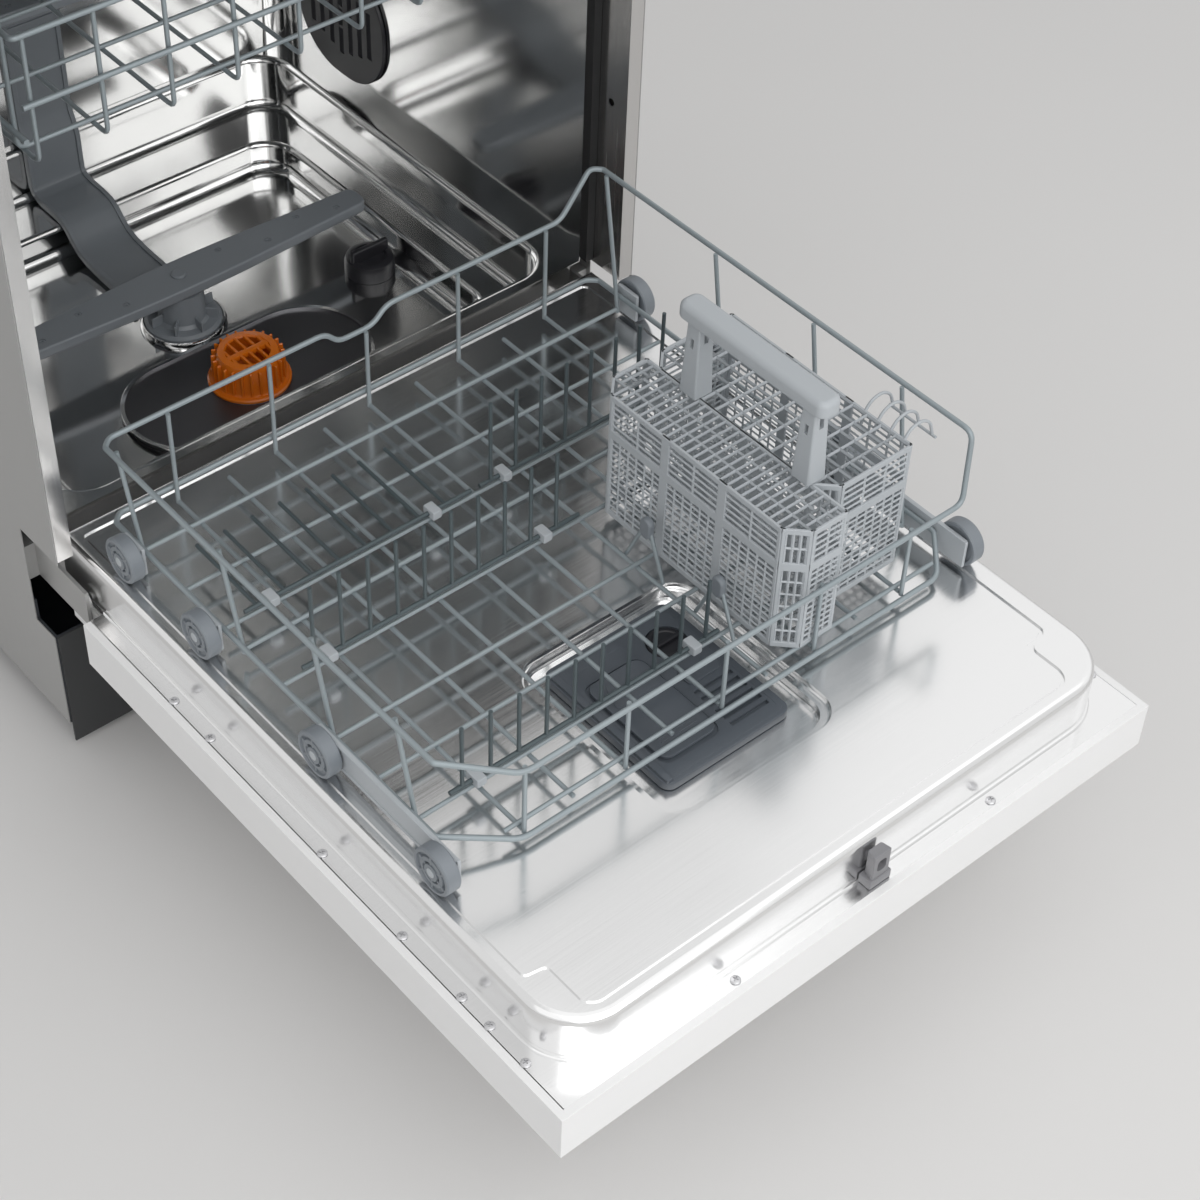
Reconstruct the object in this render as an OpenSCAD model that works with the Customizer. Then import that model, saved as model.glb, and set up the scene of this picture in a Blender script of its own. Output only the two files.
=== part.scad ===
// Integrated dishwasher with its door lying open and the lower rack drawn out onto the door.
// Millimetres. X to the right, Y to the back, Z up.
// The origin is on the floor, at mid-width, in the plane of the cabinet's front edge.

/* [Cabinet] */
// Width of the cabinet and of the door
body_w = 598; // [590:1:610]
// Height of the cabinet above the floor
body_h = 815; // [800:1:870]
// Depth of the cabinet behind its front plane
body_d = 560; // [558:1:600]
// Thickness of the sheet panels
panel_t = 0.8; // [0.6:0.1:1.2]
// Setback of the side panels and front columns behind the front plane
column_y = 30; // [29:1:34]
// Width of each front column
column_w = 15; // [12:1:15]
// Height of the base pan's floor above the room's floor
base_z = 30; // [24:1:40]
// Height of the base pan's walls and ribs, up to the basin
base_wall_t = 3; // [2:0.5:4]
// Setback of the plinth plate
plinth_y = 56; // [50:1:60]
// Thickness of the plinth plate
plinth_t = 2; // [1:0.5:3]
// Radius of the levelling feet
foot_r = 20; // [15:1:25]
// Width of the counterweight
counter_w = 300; // [280:5:320]
// Height of the counterweight
counter_h = 40; // [30:1:80]

/* [Tub] */
// Space between the tub and each side of the cabinet
side_space = 24; // [23:1:26]
// Front edge of the tub's sill behind the front plane
tub_y = 75; // [75:1:78]
// Space between the tub and the cabinet's back
rear_space = 21; // [15:1:21]
// Height of the wheel ledges above the floor
ledge_z = 240; // [240:1:242]
// Space between the tub's ceiling and the cabinet's top
top_space = 20; // [20:1:35]
// Thickness of the tub's sheet
tub_t = 0.8; // [0.6:0.1:1.2]
// Width of the wheel ledges
ledge_w = 24; // [22:1:25]
// Depth of the first step below the ledges
shelf_drop = 55; // [50:1:58]
// Depth of the basin below the ledges
basin_drop = 85; // [82:1:88]
// Width of the basin
basin_w = 430; // [420:1:440]
// Depth of the basin, front to back
basin_l = 350; // [330:1:360]
// Radius of the basin's upright corners
basin_r = 55; // [30:1:70]
// Radius of the tub's upright corners
tub_r = 22; // [10:1:30]

/* [Water system] */
// Position of the spray arm's axis behind the front plane
hub_y = 314; // [308:1:315]
// Radius of the bright ring round the hub
hub_ring_r = 40; // [34:1:42]
// Radius of the hub's shaft
hub_shaft_r = 7; // [5:0.5:9]
// Length of the lower spray arm
arm_l = 408; // [380:2:408]
// Width of the spray arms
arm_w = 44; // [30:1:50]
// Thickness of the spray arms
arm_t = 12; // [9:1:13]
// Length of the upper spray arm
upper_arm_l = 360; // [300:2:380]
// Width of the feed duct
duct_w = 58; // [40:1:64]
// Thickness of the feed duct
duct_t = 11; // [8:0.5:11.5]
// Length of the oval filter plate
filter_l = 250; // [200:1:270]
// Width of the oval filter plate
filter_w = 130; // [110:1:134]
// Radius of the filter cup
cup_r = 33; // [25:1:38]
// Radius of the salt cap
cap_r = 24; // [18:1:26]
// Thickness of the duct where it crosses the first step, under the spray arm
low_duct_t = 10; // [8:0.5:10]
// Width of the vent on the tub's right wall
vent_w = 138; // [120:1:140]
// Height of the vent
vent_h = 130; // [120:1:132]

/* [Door] */
// Thickness of the door slab
slab_t = 45; // [40:1:48]
// Height of the slab's inner flange above the floor, with the door open
slab_z = 195; // [195:1:196]
// Thickness of the outer panel behind the door's face
face_t = 16; // [12:1:19]
// Thickness of the outer panel's side walls
face_edge = 7; // [5:0.5:9]
// How far the hinge pin lies behind the front plane
hinge_y = 26; // [25:1:27]
// Height of the hinge pin above the floor
hinge_z = 194; // [193:1:195]
// Radius of the hinge pins
hinge_r = 4; // [3:0.5:5]
// Gap between the closed door's top edge and the cabinet's top
door_top_gap = 5; // [3:1:8]
// How far the door's tail reaches behind the hinge pin
tail = 30; // [26:1:32]
// Width of the flange round the liner
flange_w = 21; // [18:0.5:22]
// Thickness of the liner's sheet
liner_t = 0.8; // [0.6:0.1:1.2]
// Radius of the liner's corners
liner_r = 48; // [30:1:60]
// Radius of the flange screws' heads
screw_r = 4; // [3:0.5:5]

/* [Dispenser] */
// Width of the pocket in the liner
pocket_w = 172; // [160:1:180]
// Length of the pocket in the liner
pocket_l = 190; // [170:1:200]
// Depth of the pocket
pocket_drop = 14; // [10:1:18]
// Width of the dispenser
dispenser_w = 126; // [110:1:134]
// Length of the dispenser
dispenser_l = 146; // [130:1:150]

/* [Lower rack] */
// Space between the lower rack's side wires and the tub's walls
rack_side_space = 26; // [25:1:30]
// Length of the lower rack over its end wires' centres
rack_l = 446; // [440:1:446]
// Distance of the rack's front wires from the door's near edge
rack_in = 170; // [165:1:175]
// Thickness of the rack's main wires
wire_d = 4.6; // [4:0.2:5]
// Thickness of the floor wires and uprights
thin_d = 3.8; // [3.4:0.2:4.2]
// Thickness of the tines
tine_d = 3.4; // [3:0.2:3.8]
// Height of the left and rear rim above the ledges
rim_h = 103; // [90:1:110]
// Height of the front rim above the ledges
front_rim_h = 80; // [70:1:88]
// Height of the right rim above the ledges
right_rim_h = 143; // [120:1:150]
// Height of the middle wire above the ledges
mid_h = 25; // [22:1:30]
// Radius of the lower rack's wheels
wheel_r = 19.7; // [17:0.1:19.8]
// Width of the lower rack's wheels
wheel_w = 13; // [10:0.5:13.5]
// Radius of the wheels' axle pins
axle_r = 4; // [3:0.5:5]
// Height of the tines of the rear rows
tine_h = 82; // [60:1:84]
// Height of the tines of the front row
short_tine_h = 62; // [50:1:64]
// Distance between tines
tine_pitch = 26; // [22:1:34]
// How far the front wires cut the rack's left corner
corner_in = 54; // [40:1:60]

/* [Cutlery basket] */
// Width of the cutlery basket
basket_w = 140; // [130:1:142]
// Length of the cutlery basket
basket_l = 222; // [200:1:226]
// Height of the cutlery basket
basket_h = 122; // [100:1:126]
// Thickness of the basket's walls
basket_t = 2; // [1.6:0.2:2.6]
// Size of the basket's corner chamfers
basket_cut = 16; // [10:1:20]
// Height of the handle above the basket
handle_h = 84; // [60:1:84]
// Length of the handle bar
handle_l = 158; // [140:1:170]

/* [Upper rack] */
// Space between the upper rack's side wires and the tub's walls
upper_side_space = 35; // [33:1:45]
// Length of the upper rack over its end wires' centres
upper_l = 436; // [420:1:438]
// Height of the upper rack's floor above the room's floor
upper_z = 556; // [550:1:560]
// Height of the upper rack's sides
upper_h = 108; // [90:1:120]

/* [Connections] */
// Radius of the water inlet's three-quarter-inch thread
inlet_r = 13.2; // [13:0.1:13.3]
// Length of the water inlet's thread
inlet_l = 14; // [12:1:16]
// Radius of the drain spigot
drain_r = 10; // [9:0.5:11]
// Length of the drain spigot
drain_l = 28; // [24:1:32]
// Radius of the cabinet's fixing holes
fix_r = 3.5; // [3:0.1:4]
// Height of a column's lower fixing hole above the tub's ledges
fix_low = 179; // [150:1:200]
// Distance between the two fixing holes of a column
fix_spacing = 300; // [200:10:330]
// Distance between the top rail's fixing holes
top_spacing = 400; // [300:10:440]

/* [Hidden] */
$fn = 48;

// Clearances: between pieces that lie on each other, round running pins, between moving pieces,
// and between the sheets and wires that are welded into one piece
gap = 0.3;
fit = 0.06;
clear = 3;
seam = 0.05;

// Cabinet
half_w = body_w / 2;
back_y = body_d;
inner_half = half_w - panel_t - gap;
column_in = half_w - column_w;
column_back = tub_y - clear;
notch_y = hinge_y + 60;
notch_z = ledge_z - 2;
sweep_z = slab_z - slab_t - 12;
base_front = plinth_y + plinth_t + gap;
top_z = body_h - panel_t;
port_x = half_w - 99;

// Tub
tub_half = half_w - side_space;
tub_back = back_y - rear_space;
ceiling_z = body_h - top_space;
shelf_half = tub_half - ledge_w;
shelf_z = ledge_z - shelf_drop;
shelf_front = tub_y + 14;
shelf_back = tub_back - 9;
basin_z = ledge_z - basin_drop;
basin_front = hub_y - 16 - basin_l / 2;
basin_back = basin_front + basin_l;
base_top = basin_z - tub_t - gap;
rib_y = [basin_front + 20, back_y - 107];
filter_y = hub_y - hub_ring_r - 2 - filter_w / 2;
arm_z = shelf_z + gap + low_duct_t + clear;

// Door, lying open: slab, liner and the near edge
near_y = -(body_h - door_top_gap - hinge_z - hinge_y);
tail_y = hinge_y + tail;
slab_bottom = slab_z - slab_t;
liner_half = half_w - flange_w;
liner_near = near_y + flange_w;
liner_top = ledge_z;
hinge_x = liner_half + 3;
hinge_plate = 3;
arm_notch = liner_half + 1;
screw_y = [51, 90, 121, 189, 285, 429, 478];
pocket_x = -11;
pocket_y = near_y + 118 + pocket_l / 2;
pocket_z = liner_top - pocket_drop;
dispenser_y = pocket_y + 10;

// Lower rack
rack_half = tub_half - rack_side_space;
rack_front = near_y + rack_in;
rack_back = rack_front + rack_l;
floor_z = ledge_z + 11.4;
cross_z = floor_z + thin_d + seam;
rim_z = ledge_z + rim_h;
front_z = ledge_z + front_rim_h;
right_z = ledge_z + right_rim_h;
mid_z = ledge_z + mid_h;
beside = (wire_d + thin_d) / 2 + seam;
foot_in = beside + thin_d / 2 + seam;
wire_pitch = (rack_half - 59) / 4;
hoop_x = wire_pitch + (thin_d + tine_d) / 2 + seam;
hoop_y = [68, 150];
corner_l = 30;
right_in = 22;
right_l = 28;
cross_y = [10, 57, 105, 155, 222, 270, 297, 350, 407];
side_y = [57, 155, 270, 407];
lean = 22;
wheel_y = [10, 148, 300, 404];
wheel_z = ledge_z + wheel_r + gap;
wheel_x = rack_half + 7.2;
carrier_x = rack_half + wire_d / 2 + gap;
carrier_t = 3.6;

// Tine rows: the axle's place behind the rack's front, its ends and its tines' height
axle_d = 4;
axle_z = cross_z + thin_d / 2 + gap + 4.2;
rear_row = cross_y[6];
middle_row = cross_y[4];
front_row = cross_y[1];
side_start = 34;
side_end = rack_l - 12;
basket_x = hoop_x + 15;
rear_right = [2, rack_half - 35];
rear_left = [23 - rack_half, -6];
middle_span = [23 - rack_half, basket_x - 22];
front_span = [33 - rack_half, basket_x - 22];
tine_start = 12;

// How many gaps between tines a row has, and where its two clips stand
function tine_gaps(span) = floor((span[1] - span[0] - 16) / tine_pitch);
function clip_places(span) = [
    for (i = [0.5, tine_gaps(span) - 0.5]) span[0] + tine_start + i * tine_pitch
];
clip_w = 9;

// Cutlery basket
basket_y = rack_front + 8;
basket_z = cross_z + thin_d / 2 + gap;
basket_top = basket_z + basket_h;
split_x = basket_x + 50;
handle_x = split_x + 3;
handle_y = basket_y + 28;

// Upper rack
upper_half = tub_half - upper_side_space;
upper_back = tub_back - duct_t - 6;
upper_front = upper_back - upper_l;
pipe_t = 12;
pipe_top = upper_z - thin_d / 2 - gap;
upper_arm_z = pipe_top - pipe_t - gap - arm_t;
port_y = tub_back - gap - duct_t - 2;
rail_z = upper_z + 38;

// A straight wire of eight sides from one point to another
module rod(a, b, d) {
    v = b - a;
    length = norm(v);
    translate(a)
        rotate([0, acos(v[2] / length), atan2(v[1], v[0])])
            cylinder(d = d, h = length, $fn = 8);
}

// A wire along points, its straight stretches overlapping at the bends
module wire(points, d) {
    last = len(points) - 2;
    for (i = [0 : last]) {
        v = points[i + 1] - points[i];
        step = v / norm(v) * d * 0.3;
        rod(points[i] - (i > 0 ? step : step * 0), points[i + 1] + (i < last ? step : step * 0), d);
    }
}

// A rectangle with round corners, centred, made of exact arcs
module plate_2d(w, l, r) {
    square([w - 2 * r, l], center = true);
    square([w, l - 2 * r], center = true);
    for (x = [-1, 1], y = [-1, 1])
        translate([x * (w / 2 - r), y * (l / 2 - r)])
            circle(r = r);
}

// A box between two corners
module box(low, high) {
    translate(low)
        cube(high - low);
}

// A round bar along X between two places
module bar_x(x0, x1, y, z, r) {
    translate([min(x0, x1), y, z])
        rotate([0, 90, 0])
            cylinder(r = r, h = abs(x1 - x0));
}

// The same piece on the left and on the right
module both_sides() {
    children();
    mirror([1, 0, 0])
        children();
}

// Cabinet

// Outline of the first step's opening, and of the basin's, drawn outwards by an amount
module step_2d(grow) {
    translate([0, (shelf_front + shelf_back) / 2])
        plate_2d(2 * (shelf_half + grow), shelf_back - shelf_front + 2 * grow, basin_r + grow);
}

module basin_2d(grow) {
    translate([0, (basin_front + basin_back) / 2])
        plate_2d(basin_w + 2 * grow, basin_l + 2 * grow, basin_r + grow);
}

// A level sheet or an upright wall between two outlines
module band(low, high) {
    translate([0, 0, low])
        linear_extrude(high - low)
            difference() {
                children(0);
                children(1);
            }
}

// The tub: side walls, rounded rear corners, back wall, ceiling, front flange and the stepped base
module tub_shell() {
    low = ledge_z + seam;
    high = ceiling_z - seam;
    front = tub_y + tub_t + seam;
    corner_y = tub_back - tub_r;
    color([0.75, 0.76, 0.77]) {
        both_sides() {
            box([tub_half, front, low], [tub_half + tub_t, corner_y - seam, high]);
            box([tub_half, tub_y, ledge_z + 3], [inner_half, tub_y + tub_t, top_z - gap]);
            difference() {
                translate([tub_half - tub_r, corner_y, low])
                    cylinder(r = tub_r + tub_t, h = high - low);
                translate([tub_half - tub_r, corner_y, low - 1])
                    cylinder(r = tub_r, h = high - low + 2);
                box([0, corner_y - 2 * tub_r, low - 1], [body_w, corner_y, high + 1]);
                box([0, corner_y - 1, low - 1], [tub_half - tub_r, back_y, high + 1]);
            }
        }
        box([seam + tub_r - tub_half, tub_back, low], [tub_half - tub_r - seam, tub_back + tub_t, high]);
        box([-tub_half - tub_t, front, ceiling_z], [tub_half + tub_t, tub_back + tub_t, ceiling_z + tub_t]);
        box([seam - tub_half, tub_y, ceiling_z], [tub_half - seam, tub_y + tub_t, top_z - gap]);
        band(ledge_z - tub_t, ledge_z) {
            translate([-tub_half - tub_t, tub_y])
                square([2 * (tub_half + tub_t), tub_back + tub_t - tub_y]);
            step_2d(0);
        }
        band(shelf_z + seam, ledge_z - tub_t - seam) {
            step_2d(tub_t);
            step_2d(0);
        }
        band(shelf_z - tub_t, shelf_z) {
            step_2d(tub_t);
            basin_2d(0);
        }
        band(basin_z + seam, shelf_z - tub_t - seam) {
            basin_2d(tub_t);
            basin_2d(0);
        }
        band(basin_z - tub_t, basin_z) {
            basin_2d(tub_t);
            translate([0, filter_y])
                circle(r = cup_r + 6);
        }
    }
}

module tub_seal() {
    front = tub_y - gap - 9;
    low = tub_half + 0.5;
    high = column_in - gap;
    top = top_z - column_w - 2 * gap;
    color([0.05, 0.05, 0.05]) {
        both_sides()
            box([low, front, ledge_z + 4], [high, tub_y - gap, top]);
        box([-high, front, ceiling_z + 0.5], [high, tub_y - gap, top]);
    }
}

module front_frame() {
    color([0.55, 0.55, 0.56])
        difference() {
            union() {
                both_sides()
                    difference() {
                        box([column_in, column_y, notch_z + 3], [inner_half, tub_y - gap, top_z - gap]);
                        box(
                            [column_in + 2, column_y + 2, notch_z + 1],
                            [inner_half + 1, column_back - 2, top_z]
                        );
                    }
                box([-inner_half, column_y, top_z - gap - column_w], [inner_half, tub_y - gap, top_z - gap]);
            }
            both_sides()
                for (z = [0, 1])
                    translate([column_in - 1, column_y + 20, ledge_z + fix_low + z * fix_spacing])
                        rotate([0, 90, 0])
                            cylinder(r = fix_r, h = 6);
            for (x = [-1, 1])
                translate([x * top_spacing / 2, column_y + 20, top_z - gap - column_w - 1])
                    cylinder(r = fix_r, h = column_w + 2);
            box([-22, column_y + 6, top_z - gap - column_w - 1], [40, column_back - 6, top_z - gap - 2]);
        }
}

module side_panels() {
    color([0.6, 0.6, 0.61])
        both_sides()
            difference() {
                box([half_w - panel_t, column_y, base_z], [half_w, back_y - panel_t - gap, top_z - gap]);
                box([half_w - 2 * panel_t, column_y - 1, sweep_z - 4], [half_w + 1, notch_y, notch_z]);
                box([half_w - 2 * panel_t, column_y - 1, base_z - 1], [half_w + 1, base_front, sweep_z]);
            }
}

module top_panel() {
    color([0.62, 0.62, 0.63])
        difference() {
            box([-half_w, column_y, top_z], [half_w, back_y, body_h]);
            for (x = [-1, 1])
                translate([x * top_spacing / 2, column_y + 20, top_z - 1])
                    cylinder(r = fix_r, h = panel_t + 2);
        }
}

module back_panel() {
    color([0.6, 0.6, 0.61])
        difference() {
            box([-half_w, back_y - panel_t, base_z], [half_w, back_y, top_z - gap]);
            for (x = [-port_x, port_x])
                translate([x, back_y - 2 * panel_t, base_z + 62])
                    rotate([-90, 0, 0])
                        cylinder(r = inlet_r + 12, h = 3 * panel_t);
            box([-half_w + 45, back_y - 2 * panel_t, base_z + 40], [-half_w + 80, back_y + 1, base_z + 68]);
        }
}

module base_pan() {
    back = back_y - panel_t - gap;
    t = base_wall_t;
    low = base_z + t + seam;
    rear_y = notch_y + 2;
    rib_x = basin_w / 2 - 13;
    color([0.13, 0.14, 0.15])
        difference() {
            union() {
                box([-inner_half, base_front, base_z], [inner_half, back, base_z + t]);
                for (y = [base_front, back - t])
                    box([-inner_half, y, low], [inner_half, y + t, sweep_z - 6]);
                both_sides() {
                    box(
                        [inner_half - t, base_front + t + seam, low],
                        [inner_half, rear_y - seam, sweep_z - 6]
                    );
                    box([inner_half - t, rear_y, low], [inner_half, back - t - seam, base_top]);
                    box([rib_x - t, rib_y[0] + t + seam, low], [rib_x, rib_y[1] - seam, base_top]);
                }
                for (y = rib_y)
                    box([-rib_x, y, low], [rib_x, y + t, base_top]);
            }
            for (x = [-port_x, port_x])
                translate([x, back - 2 * t, base_z + 62])
                    rotate([-90, 0, 0])
                        cylinder(r = inlet_r + 12, h = 3 * t);
            box([-half_w + 45, back - 2 * t, base_z + 40], [-half_w + 80, back + 1, base_z + 68]);
            for (p = foot_places())
                translate([p[0], p[1], base_z - 1])
                    cylinder(r = 5 + fit, h = t + 2);
        }
}

module plinth_plate() {
    color([0.2, 0.2, 0.21])
        box([-half_w + 2, plinth_y, 8], [half_w - 2, plinth_y + plinth_t, sweep_z - 4]);
}

// Levelling feet under the four corners of the base
function foot_places() = [
    for (x = [-1, 1], y = [base_front + 30, back_y - 42]) [x * (inner_half - 36), y]
];

module levelling_feet() {
    color([0.12, 0.12, 0.13])
        for (p = foot_places())
            translate([p[0], p[1], 0]) {
                cylinder(r = foot_r, h = 8);
                translate([0, 0, 8])
                    cylinder(r = 9, h = base_z - gap - 8);
                translate([0, 0, 8])
                    cylinder(r = 5, h = base_z + 12);
            }
}

module counterweight() {
    color([0.3, 0.3, 0.31])
        translate([-counter_w / 2, rib_y[1] + base_wall_t + 3, base_z + base_wall_t + gap])
            cube([counter_w, back_y - 14 - rib_y[1] - base_wall_t - 3, counter_h]);
}

module sump() {
    wall = cup_r + 8;
    color([0.16, 0.17, 0.18])
        difference() {
            union() {
                translate([0, filter_y, base_z + 20])
                    cylinder(r = wall, h = base_top - base_z - 20);
                translate([0, filter_y, base_top - 5])
                    cylinder(r = wall + 12, h = 5);
                translate([0, filter_y, base_z + base_wall_t + gap])
                    cylinder(r = 26, h = 20);
            }
            translate([0, filter_y, base_z + 26])
                cylinder(r = cup_r + 4, h = basin_z);
        }
}

// A pump lying along Y: its volute in front and its motor can behind
module pump(x, y, z, r, length) {
    translate([x, y, z])
        rotate([90, 0, 0])
            cylinder(r = r * 1.15, h = 22);
    translate([x, y - 1, z])
        rotate([-90, 0, 0])
            cylinder(r = r, h = length + 1);
}

module circulation_pump() {
    r = 34;
    z = base_z + base_wall_t + gap + r * 1.15;
    color([0.2, 0.21, 0.23]) {
        pump(104, filter_y + 12, z, r, 86);
        bar_x(cup_r + 8 + gap, 90, filter_y, z, 12);
    }
}

module drain_pump() {
    r = 24;
    z = base_z + base_wall_t + gap + r * 1.15;
    color([0.75, 0.75, 0.72]) {
        pump(-98, filter_y + 11, z, r, 54);
        bar_x(-cup_r - 8 - gap, -90, filter_y, z, 8);
    }
}

module inlet_valve() {
    y = back_y + 1;
    z = base_z + 62;
    color([0.85, 0.85, 0.83]) {
        translate([port_x, y - inlet_l - 1, z])
            rotate([-90, 0, 0])
                cylinder(r = inlet_r, h = inlet_l);
        translate([port_x, y - inlet_l - 1.5, z])
            rotate([90, 0, 0])
                cylinder(r = inlet_r + 6, h = 14);
        box(
            [port_x - 16, y - inlet_l - 58, base_z + base_wall_t + gap],
            [port_x + 16, y - inlet_l - 15, z + 26]
        );
    }
}

module drain_outlet() {
    y = back_y;
    z = base_z + 62;
    color([0.25, 0.26, 0.27])
        difference() {
            union() {
                translate([-port_x, y - drain_l, z])
                    rotate([-90, 0, 0])
                        cylinder(r = drain_r, h = drain_l);
                translate([-port_x, y - drain_l + 0.5, z])
                    rotate([90, 0, 0])
                        cylinder(r = drain_r + 7, h = 6);
                box(
                    [-port_x - 12, y - drain_l - 36, base_z + base_wall_t + gap],
                    [12 - port_x, y - drain_l - 5, z + 16]
                );
            }
            translate([-port_x, y - drain_l - 2, z])
                rotate([-90, 0, 0])
                    cylinder(r = drain_r - 3, h = drain_l + 3);
        }
}

module power_inlet() {
    z = base_z + 41;
    color([0.08, 0.08, 0.09])
        difference() {
            union() {
                box([-half_w + 46, back_y - 26, z], [-half_w + 79, back_y - 0.5, z + 26]);
                box(
                    [-half_w + 52, back_y - 24, base_z + base_wall_t + gap],
                    [-half_w + 73, back_y - 12, z + 1]
                );
            }
            box([-half_w + 49, back_y - 20, z + 3], [-half_w + 76, back_y + 1, z + 23]);
        }
}

module mesh_filter() {
    t = 4;
    bore = cup_r + 1.5;
    color([0.16, 0.16, 0.17])
        translate([0, filter_y, basin_z + gap])
            difference() {
                union() {
                    linear_extrude(t)
                        plate_2d(filter_l, filter_w, filter_w / 2 - 0.5);
                    translate([0, 0, t - 0.5])
                        linear_extrude(3)
                            difference() {
                                plate_2d(filter_l, filter_w, filter_w / 2 - 0.5);
                                plate_2d(filter_l - 6, filter_w - 6, filter_w / 2 - 3.5);
                            }
                }
                translate([0, 0, -1])
                    cylinder(r = bore, h = t + 2);
            }
}

module filter_cup() {
    bottom = base_z + 34;
    flange_z = basin_z + gap + 4 + gap;
    color([0.85, 0.42, 0.05])
        translate([0, filter_y, 0])
            difference() {
                union() {
                    translate([0, 0, bottom])
                        cylinder(r = cup_r - 3, h = flange_z - bottom + 1);
                    translate([0, 0, flange_z])
                        cylinder(r = cup_r + 5, h = 3);
                    translate([0, 0, flange_z + 2])
                        cylinder(r1 = cup_r, r2 = cup_r - 5, h = 30);
                }
                translate([0, 0, bottom + 2])
                    cylinder(r = cup_r - 7, h = flange_z - bottom + 26);
                for (a = [0 : 30 : 150])
                    rotate([0, 0, a])
                        translate([0, 0, flange_z + 17])
                            cube([3 * cup_r, 5, 20], center = true);
            }
}

module salt_cap() {
    color([0.08, 0.09, 0.1])
        translate([basin_w / 2 - cap_r - 8, hub_y - 42, basin_z + gap]) {
            cylinder(r = cap_r, h = 18);
            translate([0, 0, 23])
                cube([2 * cap_r - 6, 6, 12], center = true);
        }
}

module spray_hub() {
    color([0.5, 0.53, 0.55])
        translate([0, hub_y, basin_z + gap]) {
            cylinder(r = hub_ring_r - 4, h = 9);
            translate([0, 0, 8])
                cylinder(r = 22, h = arm_z - gap - basin_z - gap - 8);
            cylinder(r = hub_shaft_r, h = arm_z + arm_t + 1.5 - basin_z);
        }
}

module hub_ring() {
    color([0.85, 0.86, 0.87])
        translate([0, hub_y, basin_z + gap])
            difference() {
                cylinder(r = hub_ring_r, h = 6);
                translate([0, 0, -1])
                    cylinder(r = hub_ring_r - 4 + gap, h = 8);
            }
}

// A spray arm: a long flat bar with round ends, a bore for its shaft and a row of nozzles
module spray_arm(length, z) {
    translate([0, hub_y, z])
        difference() {
            linear_extrude(arm_t)
                plate_2d(length, arm_w, arm_w / 2 - 0.5);
            translate([0, 0, -1])
                cylinder(r = hub_shaft_r + fit, h = arm_t + 2);
            for (i = [1 : 5], s = [-1, 1])
                translate([s * i * length / 11.5, s * 6, arm_t - 3])
                    cylinder(r = 1.6, h = 5);
        }
}

module lower_spray_arm() {
    color([0.45, 0.48, 0.49])
        spray_arm(arm_l, arm_z);
}

module feed_duct() {
    low = basin_z + gap;
    wall = tub_back - gap;
    over = shelf_z + gap + low_duct_t;
    half = duct_w / 2;
    color([0.5, 0.53, 0.55]) {
        box([-half, hub_y + hub_ring_r + gap, low], [half, basin_back - gap, low + 16]);
        box([-half, basin_back - 14, low], [half, basin_back - gap, over]);
        box([-half, basin_back - 14, shelf_z + gap], [half, shelf_back - gap, over]);
        box([-half, shelf_back - 8, shelf_z + gap], [half, shelf_back - gap, ledge_z + 6]);
        box([-half, shelf_back - 8, ledge_z + gap], [half, wall, ledge_z + 6]);
        box([-half, wall - duct_t, ledge_z + gap], [half, wall, ceiling_z - gap]);
        translate([0, wall - duct_t + 1, pipe_top - pipe_t / 2])
            rotate([90, 0, 0])
                cylinder(r = 15, h = 3);
    }
}

module vent_grille() {
    t = 4.2;
    color([0.04, 0.04, 0.05])
        translate([tub_half - gap, tub_back - 111, ledge_z + 82])
            rotate([0, -90, 0])
                difference() {
                    linear_extrude(t)
                        plate_2d(vent_h, vent_w, vent_h / 2 - 4);
                    for (i = [-3 : 3])
                        translate([-38 + abs(i) * 5, i * 15 - 3.5, 1.6])
                            cube([76 - abs(i) * 10, 7, t]);
                }
}

module upper_rails() {
    depth = tub_half - gap;
    color([0.8, 0.81, 0.82])
        both_sides()
            difference() {
                box([depth - 14, tub_y + 12, rail_z - 15], [depth, tub_back - 30, rail_z + 15]);
                box([depth - 15, tub_y + 11, rail_z - 12], [depth - 2, tub_back - 32, rail_z + 12]);
            }
}

module rail_slides() {
    depth = tub_half - gap;
    color([0.83, 0.84, 0.85])
        both_sides()
            difference() {
                box(
                    [depth - 12, tub_y + 14, rail_z - 12 + gap],
                    [depth - 2 - gap, tub_back - 36, rail_z + 12 - gap]
                );
                box([depth - 13, tub_y + 13, rail_z - 9], [depth - 5, tub_back - 37, rail_z + 9]);
            }
}

module upper_runners() {
    depth = tub_half - gap;
    start = upper_half + wire_d / 2 + gap;
    outer = depth - 5 - gap;
    lug_y = [upper_front + 40, upper_front + upper_l / 2, upper_back - 60];
    color([0.5, 0.53, 0.55])
        both_sides() {
            box([outer - 6, tub_y + 20, rail_z - 9 + gap], [outer, tub_back - 42, rail_z + 9 - gap]);
            for (y = lug_y) {
                box([start, y, rail_z - 8], [outer - 1, y + 22, rail_z + 8]);
                box([start, y, rail_z - 20], [start + 8, y + 22, rail_z + 8]);
            }
        }
}

module hinge_brackets() {
    outer = hinge_x + hinge_plate + gap;
    color([0.5, 0.5, 0.52])
        both_sides() {
            box([outer, hinge_y - 12, hinge_z - 18], [outer + hinge_plate, notch_y + 34, hinge_z + 18]);
            box([outer, notch_y + 4, hinge_z - 18], [inner_half, notch_y + 34, hinge_z + 18]);
            bar_x(hinge_x - 2, outer + 1, hinge_y, hinge_z, hinge_r);
        }
}

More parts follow.
